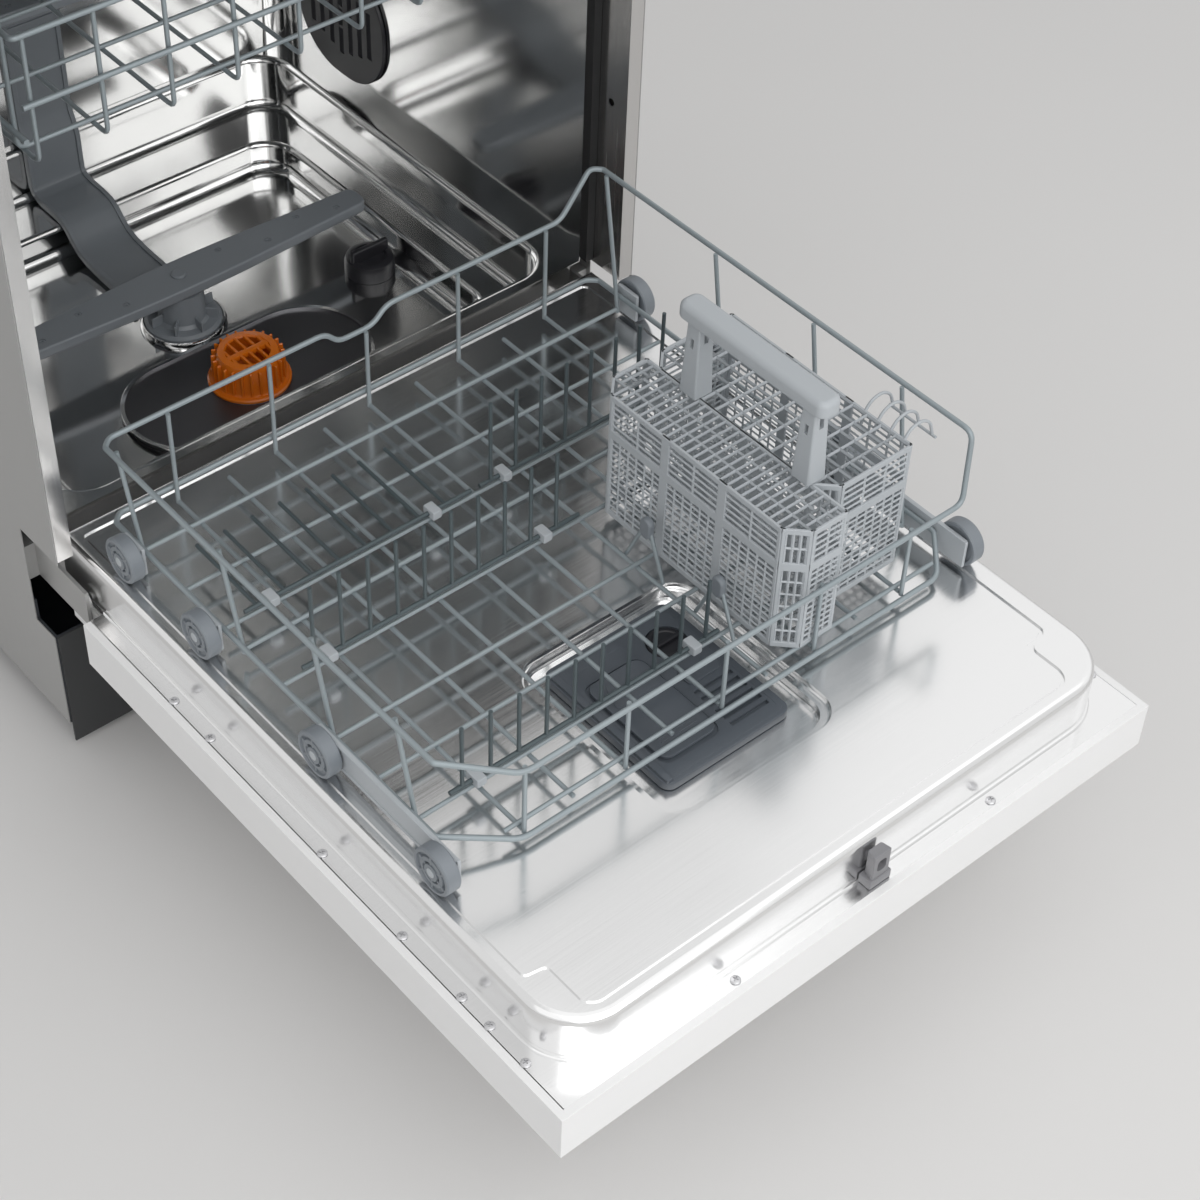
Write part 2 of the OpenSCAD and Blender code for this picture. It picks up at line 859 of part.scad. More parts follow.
module hinge_arms() {
    color([0.6, 0.6, 0.62])
        both_sides()
            difference() {
                union() {
                    box(
                        [hinge_x, hinge_y - 176, slab_z - 18],
                        [hinge_x + hinge_plate, hinge_y, slab_z - liner_t - gap]
                    );
                    bar_x(hinge_x, hinge_x + hinge_plate, hinge_y, hinge_z, 10);
                }
                bar_x(hinge_x - 1, hinge_x + hinge_plate + 1, hinge_y, hinge_z, hinge_r + fit);
            }
}

module door_springs() {
    x = inner_half - 40;
    z = base_z + base_wall_t + gap + 9;
    color([0.4, 0.4, 0.42])
        both_sides() {
            translate([x + 14, notch_y + 60, z])
                rotate([-90, 0, 0])
                    cylinder(r = 9, h = 190);
            translate([x + 14, notch_y + 6, z])
                rotate([-90, 0, 0])
                    cylinder(r = 1.5, h = 56);
        }
}

module latch_catch() {
    top = top_z - gap - 2 - gap;
    color([0.1, 0.1, 0.11])
        difference() {
            box([-20, column_y + 8, top - 30], [38, column_back - 8, top]);
            box([-2, column_y + 7, top - 31], [20, column_back - 14, top - 8]);
        }
}

// Door, modelled where it lies open

module door_panel() {
    color([0.93, 0.93, 0.93])
        difference() {
            box([-half_w, near_y, slab_bottom], [half_w, tail_y, slab_z]);
            box(
                [-half_w + face_edge, near_y + face_edge, slab_bottom + face_t],
                [half_w - face_edge, tail_y - 2, slab_z + 1]
            );
            both_sides()
                box([arm_notch, hinge_y - 24, slab_bottom - 1], [half_w + 1, tail_y + 1, slab_z + 1]);
            box([-100, near_y + 12, slab_bottom - 1], [100, near_y + 42, slab_bottom + 2]);
            for (x = [-70, 70])
                translate([x, near_y + 27, slab_bottom - 1])
                    cylinder(r = 6.5, h = face_t + 2);
        }
}

// Outline of the liner's raised pan, drawn inwards by an amount, with square corners at its tail
module liner_2d(in) {
    length = tail_y + 4 - liner_near;
    translate([0, liner_near + length / 2])
        plate_2d(2 * (liner_half - in), length - 2 * in, liner_r - in);
    translate([in - liner_half, tail_y + 2 - liner_r])
        square([2 * (liner_half - in), liner_r + 2 - in]);
}

module pocket_2d(grow) {
    translate([pocket_x, pocket_y])
        plate_2d(pocket_w + 2 * grow, pocket_l + 2 * grow, 22 + grow);
}

// The liner: flange, upright wall, top sheet, and the pocket's wall and floor round the dispenser
module door_liner() {
    edge = face_edge + gap;
    color([0.8, 0.81, 0.82])
        difference() {
            union() {
                band(slab_z - liner_t, slab_z) {
                    translate([edge - half_w, near_y + edge])
                        square([2 * (half_w - edge), tail_y - 2 - gap - near_y - edge]);
                    liner_2d(liner_t);
                }
                band(slab_z + seam, liner_top - liner_t - seam) {
                    liner_2d(0);
                    liner_2d(liner_t);
                }
                band(liner_top - liner_t, liner_top) {
                    liner_2d(0);
                    pocket_2d(0);
                }
                band(pocket_z + seam, liner_top - liner_t - seam) {
                    pocket_2d(liner_t);
                    pocket_2d(0);
                }
                band(pocket_z - liner_t, pocket_z) {
                    pocket_2d(liner_t);
                    translate([pocket_x, dispenser_y])
                        plate_2d(dispenser_w - 10, dispenser_l - 10, 6);
                }
            }
            both_sides()
                box([arm_notch, hinge_y - 24, slab_z - 3], [half_w + 1, tail_y + 9, slab_z + 1]);
            for (s = door_screw_places())
                translate([s[0], s[1], slab_z - 3])
                    cylinder(r = 2 + fit, h = 6);
        }
}

// Flange screws: seven along each side and two along the near edge
function door_screw_places() = concat(
    [for (x = [-1, 1], y = screw_y) [x * (half_w - 10.5), near_y + y]],
    [for (x = [-131, 130]) [x, near_y + 11.5]]
);

module door_screws() {
    color([0.75, 0.76, 0.77])
        for (s = door_screw_places())
            translate([s[0], s[1], slab_z + gap]) {
                cylinder(r = screw_r, h = 2);
                translate([0, 0, -9])
                    cylinder(r = 2, h = 9.5);
            }
}

module dispenser_body() {
    z = pocket_z + gap;
    cup_x = pocket_x - 22;
    cup_y = dispenser_y - 8;
    color([0.3, 0.32, 0.34])
        difference() {
            union() {
                translate([pocket_x, dispenser_y, z])
                    linear_extrude(8)
                        plate_2d(dispenser_w, dispenser_l, 8);
                translate([cup_x, cup_y, slab_z - 9])
                    linear_extrude(z - slab_z + 10)
                        plate_2d(52, 90, 10);
                translate([pocket_x + 34, dispenser_y, slab_z - 12])
                    linear_extrude(z - slab_z + 13)
                        plate_2d(40, 112, 8);
            }
            translate([cup_x, cup_y, slab_z - 6])
                linear_extrude(60)
                    plate_2d(46, 84, 8);
            translate([pocket_x + 34, dispenser_y + 38, z + 4])
                cylinder(r = 17, h = 10);
        }
}

module detergent_lid() {
    color([0.38, 0.4, 0.42])
        translate([pocket_x - 22, dispenser_y - 8, pocket_z + gap + 8 + gap])
            linear_extrude(3.5)
                plate_2d(54, 92, 9);
}

module rinse_cap() {
    color([0.2, 0.21, 0.23])
        translate([pocket_x + 34, dispenser_y + 38, pocket_z + gap + 4 + gap]) {
            cylinder(r = 16.5, h = 4);
            translate([0, 0, 5])
                cube([26, 4, 3], center = true);
        }
}

module latch_striker() {
    x = 9;
    color([0.25, 0.27, 0.29]) {
        box([x - 11, near_y + 8, slab_z + gap], [x + 11, near_y + flange_w - gap, slab_z + 12]);
        difference() {
            box([x - 8, near_y + 10, slab_z + 10], [x + 8, near_y + flange_w - 3, slab_z + 34]);
            translate([x, near_y + 4, slab_z + 22])
                rotate([-90, 0, 0])
                    cylinder(r = 5, h = 30);
        }
    }
}

module door_seal() {
    color([0.06, 0.06, 0.06])
        box([-liner_half + 8, tail_y + 4 + gap, slab_z + 12], [liner_half - 8, tail_y + 8, slab_z + 20]);
}

module control_strip() {
    color([0.12, 0.12, 0.13])
        difference() {
            box(
                [-100 + gap, near_y + 12 + gap, slab_bottom],
                [100 - gap, near_y + 42 - gap, slab_bottom + 2 - gap]
            );
            for (x = [-70, 70])
                translate([x, near_y + 27, slab_bottom - 1])
                    cylinder(r = 6.5, h = 4);
        }
}

module push_button(x) {
    color([0.5, 0.5, 0.51])
        translate([x, near_y + 27, slab_bottom - 1])
            cylinder(r = 6, h = face_t - 1.5);
}

module power_button() {
    push_button(-70);
}

module start_button() {
    push_button(70);
}

module control_board() {
    z = slab_bottom + face_t + gap;
    color([0.1, 0.35, 0.2]) {
        box([-120, near_y + 10, z], [120, near_y + 44, z + 1.6]);
        box([-40, near_y + 16, z + 1.6], [20, near_y + 38, z + 9]);
    }
}

// Lower rack

module rack_floor() {
    half = rack_half - foot_in;
    first = cross_y[0];
    left_end = corner_in * (1 - first / corner_l) + 9 - rack_half;
    right_end = rack_half - right_in * (1 - first / right_l) - 5;
    color([0.6, 0.63, 0.65]) {
        for (i = [-4 : 4])
            rod(
                [i * wire_pitch, rack_front + foot_in, floor_z],
                [i * wire_pitch, rack_back - foot_in, floor_z],
                thin_d
            );
        for (y = cross_y)
            rod(
                [y == first ? left_end : -half, rack_front + y, cross_z],
                [y == first ? right_end : half, rack_front + y, cross_z],
                thin_d
            );
        for (y = hoop_y)
            wire([
                [hoop_x, rack_front + y - 22, floor_z],
                [hoop_x, rack_front + y, floor_z + 46],
                [hoop_x, rack_front + y + 22, floor_z]
            ], tine_d);
    }
}

// One side: rim and middle wire, and leaning uprights welded inside them
module rack_side(s, top) {
    x = s * rack_half;
    inner = x - s * beside;
    for (z = [top, mid_z])
        rod([x, rack_front + side_start, z], [x, rack_front + side_end, z], wire_d);
    for (y = side_y)
        rod([inner, rack_front + y, floor_z], [inner, rack_front + y + lean, top], thin_d);
}

module rack_sides() {
    color([0.6, 0.63, 0.65]) {
        rack_side(-1, rim_z);
        rack_side(1, right_z);
    }
}

module rack_ends() {
    front = rack_front;
    joint = rack_front + side_start;
    back_joint = rack_front + side_end;
    dip = rim_z - 14;
    color([0.6, 0.63, 0.65]) {
        wire([
            [-rack_half, joint, rim_z],
            [-rack_half, front + corner_l, rim_z],
            [-rack_half + corner_in, front, front_z],
            [rack_half - 8, front, front_z],
            [rack_half, front + 8, right_z],
            [rack_half, joint, right_z]
        ], wire_d);
        wire([
            [-rack_half, joint, mid_z],
            [-rack_half, front + corner_l, mid_z],
            [-rack_half + corner_in, front, floor_z - 2],
            [rack_half - right_in, front, floor_z - 2],
            [rack_half, front + right_l, mid_z],
            [rack_half, joint, mid_z]
        ], wire_d);
        wire([
            [-rack_half, back_joint, rim_z],
            [-rack_half, rack_back - 8, rim_z],
            [-rack_half + 8, rack_back, rim_z],
            [-37, rack_back, rim_z],
            [-25, rack_back, dip],
            [10, rack_back, dip],
            [24, rack_back, rim_z],
            [rack_half - 40, rack_back, rim_z],
            [rack_half - 8, rack_back, right_z],
            [rack_half, rack_back - 8, right_z],
            [rack_half, back_joint, right_z]
        ], wire_d);
        wire([
            [-rack_half, back_joint, mid_z],
            [-rack_half, rack_back - 8, mid_z],
            [-rack_half + 8, rack_back, mid_z],
            [rack_half - 8, rack_back, mid_z],
            [rack_half, rack_back - 8, mid_z],
            [rack_half, back_joint, mid_z]
        ], wire_d);
        for (i = [-4 : 2 : 4]) {
            x = i * wire_pitch;
            low = floor_z - thin_d / 2;
            rod([x, front + beside, low], [x, front + beside, front_z], thin_d);
            rod([x, rack_back - beside, low], [x, rack_back - beside, i == 0 ? dip : rim_z], thin_d);
        }
    }
}

// A clip that holds a tine row's axle above the cross wires
module tine_clip(x, y) {
    w = clip_w;
    translate([x, rack_front + y, 0])
        difference() {
            box([-w / 2, -7, cross_z + thin_d / 2 + gap], [w / 2, 7, axle_z + 4.5]);
            bar_x(-w, w, 0, axle_z, axle_d / 2 + fit);
        }
}

// A wheel carrier plate outside the side wires, with its axle pins
module carrier(first, last, low, high) {
    box(
        [carrier_x, rack_front + first - 13, ledge_z + low],
        [carrier_x + carrier_t, rack_front + last + 13, ledge_z + high]
    );
    for (y = [first, last])
        bar_x(carrier_x + 1, wheel_x + wheel_w + 0.5, rack_front + y, wheel_z, axle_r);
}

module rack_mouldings() {
    color([0.58, 0.61, 0.63]) {
        both_sides() {
            carrier(wheel_y[0], wheel_y[1], 6, 33);
            carrier(wheel_y[2], wheel_y[2], 6, 33);
            carrier(wheel_y[3], wheel_y[3], 6, 33);
        }
        for (x = concat(clip_places(rear_right), clip_places(rear_left)))
            tine_clip(x, rear_row);
        for (x = clip_places(middle_span))
            tine_clip(x, middle_row);
        for (x = clip_places(front_span))
            tine_clip(x, front_row);
        for (y = hoop_y)
            translate([hoop_x, rack_front + y, floor_z + 46 + tine_d / 2 + gap + 4.2])
                cube([7, 9, 8], center = true);
    }
}

// A fold-down row: its axle along X and its tines, standing or folded to the back
module tine_row(span, y, height, angle) {
    color([0.3, 0.33, 0.35])
        translate([span[0], rack_front + y, axle_z]) {
            rotate([0, 90, 0])
                cylinder(d = axle_d, h = span[1] - span[0]);
            rotate([angle, 0, 0])
                for (i = [0 : tine_gaps(span)])
                    translate([tine_start + i * tine_pitch, 0, 0])
                        cylinder(d = tine_d, h = height, $fn = 8);
        }
}

module tines_rear_right() {
    tine_row(rear_right, rear_row, tine_h, 0);
}

module tines_rear_left() {
    tine_row(rear_left, rear_row, tine_h, -88);
}

module tines_middle() {
    tine_row(middle_span, middle_row, tine_h - 4, 0);
}

module tines_front() {
    tine_row(front_span, front_row, short_tine_h, 0);
}

// A pair of wheels on one axle line, left and right
module wheel_pair(i) {
    color([0.48, 0.5, 0.52])
        both_sides()
            translate([wheel_x, rack_front + wheel_y[i], wheel_z])
                rotate([0, 90, 0])
                    difference() {
                        cylinder(r = wheel_r, h = wheel_w);
                        translate([0, 0, -1])
                            cylinder(r = axle_r + fit, h = wheel_w + 2);
                        translate([0, 0, wheel_w - 2.5])
                            difference() {
                                cylinder(r = wheel_r - 3.5, h = 4);
                                translate([0, 0, -1])
                                    cylinder(r = wheel_r - 7, h = 6);
                            }
                    }
}

module wheels_1() {
    wheel_pair(0);
}

module wheels_2() {
    wheel_pair(1);
}

module wheels_3() {
    wheel_pair(2);
}

module wheels_4() {
    wheel_pair(3);
}

// Cutlery basket

// Corners of the first section's outline, drawn in by an amount
function basket_outline(w, l, in) = [
    [w - in, in], [w - in, l - in], [basket_cut + in * 0.42, l - in],
    [in, l - basket_cut - in * 0.42], [in, basket_cut + in * 0.42], [basket_cut + in * 0.42, in]
];

// Corners of the second section's outline, which is open towards the first
function side_outline(w, l, in) = [[0, in], [w - in, in], [w - in, l - in], [0, l - in]];

// One wall panel per side of an outline, a seam apart from the next
module basket_walls(outer, inner, sides) {
    for (i = [0 : sides - 1]) {
        a = outer[i];
        b = outer[(i + 1) % len(outer)];
        step = (b - a) / norm(b - a) * seam;
        polygon([a + step, b - step, inner[(i + 1) % len(inner)] - step, inner[i] + step]);
    }
}

// Windows in all walls, floor openings, and the bars across the top
module basket_section(outer, inner, floor_shape, sides, w, l) {
    rows = 9;
    row_step = (basket_h - 20) / rows;
    cols = max(1, floor((l - 2 * basket_cut) / 34));
    col_w = (l - 2 * basket_cut) / cols;
    inside = basket_t + seam;
    difference() {
        union() {
            linear_extrude(basket_h)
                basket_walls(outer, inner, sides);
            linear_extrude(basket_t)
                polygon(floor_shape);
        }
        for (r = [0 : rows - 1])
            if (r != 5) {
                for (c = [0 : cols - 1])
                    box(
                        [-1, basket_cut + c * col_w + 3.5, 8 + r * row_step],
                        [w + 1, basket_cut + (c + 1) * col_w - 3.5, 8 + r * row_step + 5.5]
                    );
                box([basket_cut + 3, -1, 8 + r * row_step], [w - 5, l + 1, 8 + r * row_step + 5.5]);
            }
        for (c = [0 : cols - 1])
            box([8, basket_cut + c * col_w + 6, -1], [w - 8, basket_cut + (c + 1) * col_w - 6, basket_t + 1]);
    }
    for (i = [1 : cols - 1])
        box(
            [inside, basket_cut + i * col_w - 0.9, basket_h - 5],
            [w - inside, basket_cut + i * col_w + 0.9, basket_h - 1]
        );
    box([w / 2 - 0.9, inside, basket_h - 9], [w / 2 + 0.9, l - inside, basket_h - 5 - seam]);
}

module cutlery_basket() {
    w = split_x - basket_x;
    side_w = basket_w - w - seam;
    side_l = basket_l - 22;
    inside = basket_t + seam;
    color([0.6, 0.63, 0.65]) {
        translate([basket_x, basket_y, basket_z])
            basket_section(
                basket_outline(w, basket_l, 0), basket_outline(w, basket_l, basket_t),
                basket_outline(w, basket_l, inside), 6, w, basket_l
            );
        translate([split_x + seam, basket_y + 22, basket_z])
            basket_section(
                side_outline(side_w, side_l, 0), side_outline(side_w, side_l, basket_t),
                side_outline(side_w, side_l, inside), 3, side_w, side_l
            );
    }
}

module basket_handle() {
    foot = basket_top + gap;
    far = handle_y + handle_l;
    color([0.6, 0.63, 0.65]) {
        translate([handle_x, (handle_y + far) / 2, basket_top + handle_h - 14])
            linear_extrude(14)
                plate_2d(22, handle_l, 6);
        for (y = [handle_y + 10, far - 24])
            box([handle_x - 7, y, foot], [handle_x + 7, y + 14, basket_top + handle_h - 13]);
    }
}

// Upper rack

module upper_rack() {
    cross = upper_z + thin_d + seam;
    top = upper_z + upper_h;
    side = upper_half - beside;
    rim_end = upper_half - wire_d / 2 - seam;
    color([0.6, 0.63, 0.65]) {
        for (i = [-4 : 4]) {
            x = i * (upper_half - 10) / 4;
            rod([x, upper_front + foot_in, upper_z], [x, upper_back - foot_in, upper_z], thin_d);
            for (y = [upper_front + beside, upper_back - beside])
                rod([x, y, upper_z - thin_d / 2], [x, y, top], thin_d);
        }
        for (i = [0 : 5]) {
            y = upper_front + 24 + i * (upper_l - 48) / 5;
            rod([foot_in - upper_half, y, cross], [upper_half - foot_in, y, cross], thin_d);
            for (s = [-1, 1])
                rod([s * side, y, cross - thin_d / 2], [s * side, y, top], thin_d);
        }
        for (s = [-1, 1], z = [rail_z - 14, top])
            rod(
                [s * upper_half, upper_front - wire_d / 2, z],
                [s * upper_half, upper_back + wire_d / 2, z],
                wire_d
            );
        for (p = [[upper_front, top], [upper_back, top], [upper_front, upper_z + 52]])
            rod([-rim_end, p[0], p[1]], [rim_end, p[0], p[1]], wire_d);
    }
}

module upper_feed_pipe() {
    color([0.5, 0.53, 0.55]) {
        box([-14, hub_y, pipe_top - pipe_t], [14, port_y - 0.5, pipe_top]);
        translate([0, hub_y, pipe_top - pipe_t])
            cylinder(r = 20, h = pipe_t);
        translate([0, hub_y, upper_arm_z - 4])
            cylinder(r = hub_shaft_r, h = arm_t + 6);
        translate([0, hub_y, upper_arm_z - 4])
            cylinder(r = 12, h = 4 - gap);
    }
}

module upper_spray_arm() {
    color([0.45, 0.48, 0.49])
        spray_arm(upper_arm_l, upper_arm_z);
}

tub_shell();
tub_seal();
front_frame();
side_panels();
top_panel();
back_panel();
base_pan();
plinth_plate();
levelling_feet();
counterweight();
sump();
circulation_pump();
drain_pump();
inlet_valve();
drain_outlet();
power_inlet();
mesh_filter();
spray_hub();
hub_ring();
feed_duct();
vent_grille();
upper_rails();
hinge_brackets();
door_springs();
latch_catch();
filter_cup();
salt_cap();
lower_spray_arm();
door_panel();
door_liner();
dispenser_body();
latch_striker();
door_screws();
hinge_arms();
door_seal();
control_strip();
control_board();
detergent_lid();
rinse_cap();
power_button();
start_button();
rack_floor();
rack_sides();
rack_ends();
rack_mouldings();
tines_rear_right();
tines_rear_left();
tines_middle();
tines_front();
wheels_1();
wheels_2();
wheels_3();
wheels_4();
cutlery_basket();
basket_handle();
upper_rack();
upper_feed_pipe();
upper_spray_arm();
rail_slides();
upper_runners();
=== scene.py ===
"""Built-in dishwasher, its door lying open and its lower rack drawn out onto the door.

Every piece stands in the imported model's frame. Sizes are in millimetres in the code and in metres in Blender:
X to the right, Y to the back, Z up, with the origin on the floor in the plane of the cabinet's front edge.
"""

import logging
import math
from dataclasses import dataclass
from enum import Enum
from typing import Callable, ClassVar, Iterable, Sequence

import bpy
from mathutils import Matrix, Vector


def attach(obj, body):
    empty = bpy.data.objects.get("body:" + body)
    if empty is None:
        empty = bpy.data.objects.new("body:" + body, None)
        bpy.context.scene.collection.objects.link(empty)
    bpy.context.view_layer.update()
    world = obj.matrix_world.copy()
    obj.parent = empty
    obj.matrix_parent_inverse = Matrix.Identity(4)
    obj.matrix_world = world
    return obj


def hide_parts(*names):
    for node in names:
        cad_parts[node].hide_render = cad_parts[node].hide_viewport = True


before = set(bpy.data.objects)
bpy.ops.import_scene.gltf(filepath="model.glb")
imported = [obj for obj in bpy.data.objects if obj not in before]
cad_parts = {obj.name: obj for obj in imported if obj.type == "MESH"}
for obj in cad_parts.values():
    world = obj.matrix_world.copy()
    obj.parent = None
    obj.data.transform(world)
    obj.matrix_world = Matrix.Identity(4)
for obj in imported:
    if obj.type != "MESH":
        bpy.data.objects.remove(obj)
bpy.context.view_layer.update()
LOG = logging.getLogger("dishwasher")
Piece = bpy.types.Object
Flat = tuple[float, float]
Point = tuple[float, float, float]
Colour = tuple[float, float, float]

MM = 0.001
SIDES = (-1, 1)
SHEET = 0.8
BASIN = 155.0
FILTER_Y = 207.0
HUB_Y = 314.0
# Stands what is drawn flat on its side: its width along Y, its length along Z, its thickness along X.
SIDEWAYS = Matrix(((0, 0, 1, 0), (1, 0, 0, 0), (0, 1, 0, 0), (0, 0, 0, 1)))


# Shader networks


class Sock:
    """A shader socket with arithmetic, so that shader maths is written as expressions."""

    def __init__(self, net: "Net", out: bpy.types.NodeSocket) -> None:
        """Wraps one output socket of a network."""
        self.net, self.out = net, out

    def maths(self, operation: str, *values: "Sock | float") -> "Sock":
        """Adds a Math node on some values, and gives its own."""
        return self.net.node("ShaderNodeMath", {"operation": operation}, values)

    def __add__(self, other: "Sock | float") -> "Sock":
        """Sum."""
        return self.maths("ADD", self, other)

    __radd__ = __add__

    def __sub__(self, other: "Sock | float") -> "Sock":
        """Difference."""
        return self.maths("SUBTRACT", self, other)

    def __rsub__(self, other: float) -> "Sock":
        """Reflected difference."""
        return self.maths("SUBTRACT", other, self)

    def __mul__(self, other: "Sock | float") -> "Sock":
        """Product."""
        return self.maths("MULTIPLY", self, other)

    __rmul__ = __mul__

    def clamp(self, low: float, high: float) -> "Sock":
        """Keeps the value between two numbers."""
        return self.maths("MAXIMUM", self.maths("MINIMUM", self, high), low)

    def above(self, level: float, width: float) -> "Sock":
        """A soft mask of what lies above a level."""
        return ((self - level) * (1.0 / width)).clamp(0.0, 1.0)


class Net:
    """The node network of one material, on the piece's own coordinates in metres."""

    def __init__(self, name: str) -> None:
        """Starts a material with a Principled shader.

        Args:
            name: The material's name.
        """
        self.material = bpy.data.materials.new(name)
        self.material.use_nodes = True
        self.tree = self.material.node_tree
        self.shader = self.tree.nodes["Principled BSDF"]
        self.place = self.node("ShaderNodeTexCoord", out="Object")

    def node(self, kind: str, settings: dict | None = None, inputs: dict | Sequence = (), out: int | str = 0) -> Sock:
        """Adds one node.

        Args:
            kind: The node's type.
            settings: Its attributes, set first.
            inputs: Values or sockets, by name or number, or in order.
            out: The output that is wanted.

        Returns:
            The wanted output.
        """
        made = self.tree.nodes.new(kind)
        for key, value in (settings or {}).items():
            setattr(made, key, value)
        for key, value in inputs.items() if isinstance(inputs, dict) else enumerate(inputs):
            self.feed(made.inputs[key], value)
        return Sock(self, made.outputs[out])

    def feed(self, socket: bpy.types.NodeSocket, value: object) -> None:
        """Links a socket, or sets its value.

        Args:
            socket: An input.
            value: What it gets, a Sock or a plain value.
        """
        if isinstance(value, Sock):
            self.tree.links.new(value.out, socket)
        else:
            socket.default_value = value

    def stretched(self, scale: Point) -> Sock:
        """The coordinates scaled per axis."""
        return self.node("ShaderNodeMapping", None, {"Vector": self.place, "Scale": scale})

    def noise(self, scale: float, detail: float = 2.0, place: Sock | None = None) -> Sock:
        """Noise from 0 to 1, by its features per metre, its octaves and the coordinates that it reads."""
        vector = place or self.place
        return self.node("ShaderNodeTexNoise", None, {"Vector": vector, "Scale": scale, "Detail": detail})

    def mix(self, mask: "Sock | float", a: Colour, b: Colour) -> Sock:
        """A colour between two, by a mask."""
        return self.node("ShaderNodeMix", {"data_type": "RGBA"}, {0: mask, 6: (*a, 1.0), 7: (*b, 1.0)}, 2)

    def bump(self, height: Sock, strength: float, distance: float) -> None:
        """Feeds a height to the shader's normal through a Bump node."""
        normal = self.node("ShaderNodeBump", None, {"Height": height, "Strength": strength, "Distance": distance})
        self.feed(self.shader.inputs["Normal"], normal)


class Grain(Enum):
    """The fine surface of a finish."""

    BRUSHED_X = "brushed along X"
    BRUSHED_Z = "brushed along Z"
    POLISHED = "polished"
    MOULDED = "fine moulded texture"
    PEEL = "orange peel of lacquer"
    CAST = "rough cast"
    MESH = "punched micro mesh"


@dataclass(frozen=True)
class Finish:
    """A finish: its colour, its gloss and its fine surface."""

    name: str
    colour: Colour
    roughness: float = 0.42
    metallic: float = 0.0
    grain: Grain = Grain.MOULDED
    relief: float = 0.25
    vary: float = 0.08
    coat: float = 0.0
    slot: str = "rack_plastic"

    def material(self) -> bpy.types.Material:
        """Builds the material, once.

        Returns:
            The finish's material.
        """
        found = bpy.data.materials.get(self.name)
        if found:
            return found
        net = Net(self.name)
        shader = net.shader.inputs
        shader["Metallic"].default_value = self.metallic
        shader["Coat Weight"].default_value = self.coat
        patch = net.noise(7.0, 3.0)
        light = tuple(min(1.0, c * (1 + self.vary)) for c in self.colour)
        dark = tuple(c * (1 - self.vary) for c in self.colour)
        if self.grain in (Grain.BRUSHED_X, Grain.BRUSHED_Z):
            along = (6.0, 900.0, 900.0) if self.grain is Grain.BRUSHED_X else (700.0, 700.0, 5.0)
            lines = net.noise(1.0, 3.0, net.stretched(along))
            height, distance, rough = lines, 0.00004, (lines - 0.5) * 0.22 + (patch - 0.5) * 0.12
            tone = lines * 0.6 + patch * 0.4
        elif self.grain is Grain.POLISHED:
            height, distance, rough = net.noise(9.0, 2.0), 0.0006, (patch - 0.5) * 0.07
            tone = patch
        elif self.grain is Grain.PEEL:
            height, distance, rough = net.noise(700.0, 2.0), 0.00006, (patch - 0.5) * 0.08
            tone = patch
        elif self.grain is Grain.CAST:
            height, distance, rough = net.noise(260.0, 5.0), 0.0008, (patch - 0.5) * 0.2
            tone = net.noise(60.0, 4.0)
        elif self.grain is Grain.MESH:
            cells = net.node(
                "ShaderNodeTexVoronoi", {"feature": "F1"}, {"Vector": net.place, "Scale": 480.0, "Randomness": 0.25}
            )
            # Painted shade: the mesh's holes are not cut but painted near black, standing in for the dark space under
            # the mesh seen through them.
            holes = 1 - cells.above(0.25, 0.12)
            height, distance, rough = 1 - holes, 0.0006, holes * 0.3
            tone = 1 - holes * 0.9
            # The near-black colour of the holes is painted shade, not the mesh's own colour.
            dark = tuple(c * 0.12 for c in self.colour)
        else:
            speck = net.noise(1400.0, 3.0)
            height, distance, rough = speck, 0.00012, (speck - 0.5) * 0.16 + (patch - 0.5) * 0.1
            tone = patch * 0.7 + speck * 0.3
        net.feed(shader["Base Color"], net.mix(tone.clamp(0.0, 1.0), dark, light))
        net.feed(shader["Roughness"], (rough + self.roughness).clamp(0.03, 1.0))
        net.bump(height, self.relief, distance)
        return net.material


def srgb(red: int, green: int, blue: int) -> Colour:
    """Turns eight-bit screen values into the linear colour that shaders use."""
    scaled = [v / 255 for v in (red, green, blue)]
    return tuple(v / 12.92 if v < 0.04045 else ((v + 0.055) / 1.055) ** 2.4 for v in scaled)


STEEL = Finish("satin_steel", (0.84, 0.84, 0.84), 0.19, 1.0, Grain.BRUSHED_X, 0.25, 0.03, slot="stainless")
TUB_STEEL = Finish("bright_tub_steel", (0.74, 0.74, 0.735), 0.11, 1.0, Grain.POLISHED, 0.25, 0.05, slot="stainless")
CHROME = Finish("chrome", (0.8, 0.8, 0.8), 0.07, 1.0, Grain.POLISHED, 0.1, 0.02, slot="stainless")
ZINC = Finish("zinc_sheet", srgb(176, 176, 175), 0.45, 0.6, Grain.BRUSHED_Z, 0.3, 0.08, slot="galvanised")
COLUMN = Finish("column_steel", (0.6, 0.59, 0.58), 0.22, 1.0, Grain.BRUSHED_Z, 0.3, 0.06, slot="stainless")
SCREW = Finish("screw_steel", (0.7, 0.7, 0.7), 0.25, 1.0, Grain.POLISHED, 0.1, 0.05, slot="screw_steel")
BOARD = Finish("white_lacquer", srgb(236, 236, 236), 0.42, 0.0, Grain.PEEL, 0.2, 0.01, slot="door_board")
RUBBER = Finish("black_rubber", srgb(24, 24, 25), 0.55, 0.0, Grain.MOULDED, 0.4, 0.2, slot="seal_rubber")
BASE = Finish("base_plastic", srgb(52, 54, 57), 0.5, 0.0, Grain.MOULDED, 0.4, 0.12, slot="base_plastic")
PLINTH = Finish("plinth_paint", srgb(60, 61, 62), 0.5, 0.2, Grain.PEEL, 0.3, 0.1, slot="plinth_steel")
IRON = Finish("cast_iron", srgb(80, 80, 80), 0.7, 0.5, Grain.CAST, 0.8, 0.3, slot="iron")
PALE = Finish("pale_plastic", srgb(205, 204, 198), 0.45, 0.0, Grain.MOULDED, 0.3, 0.05, slot="pale_plastic")
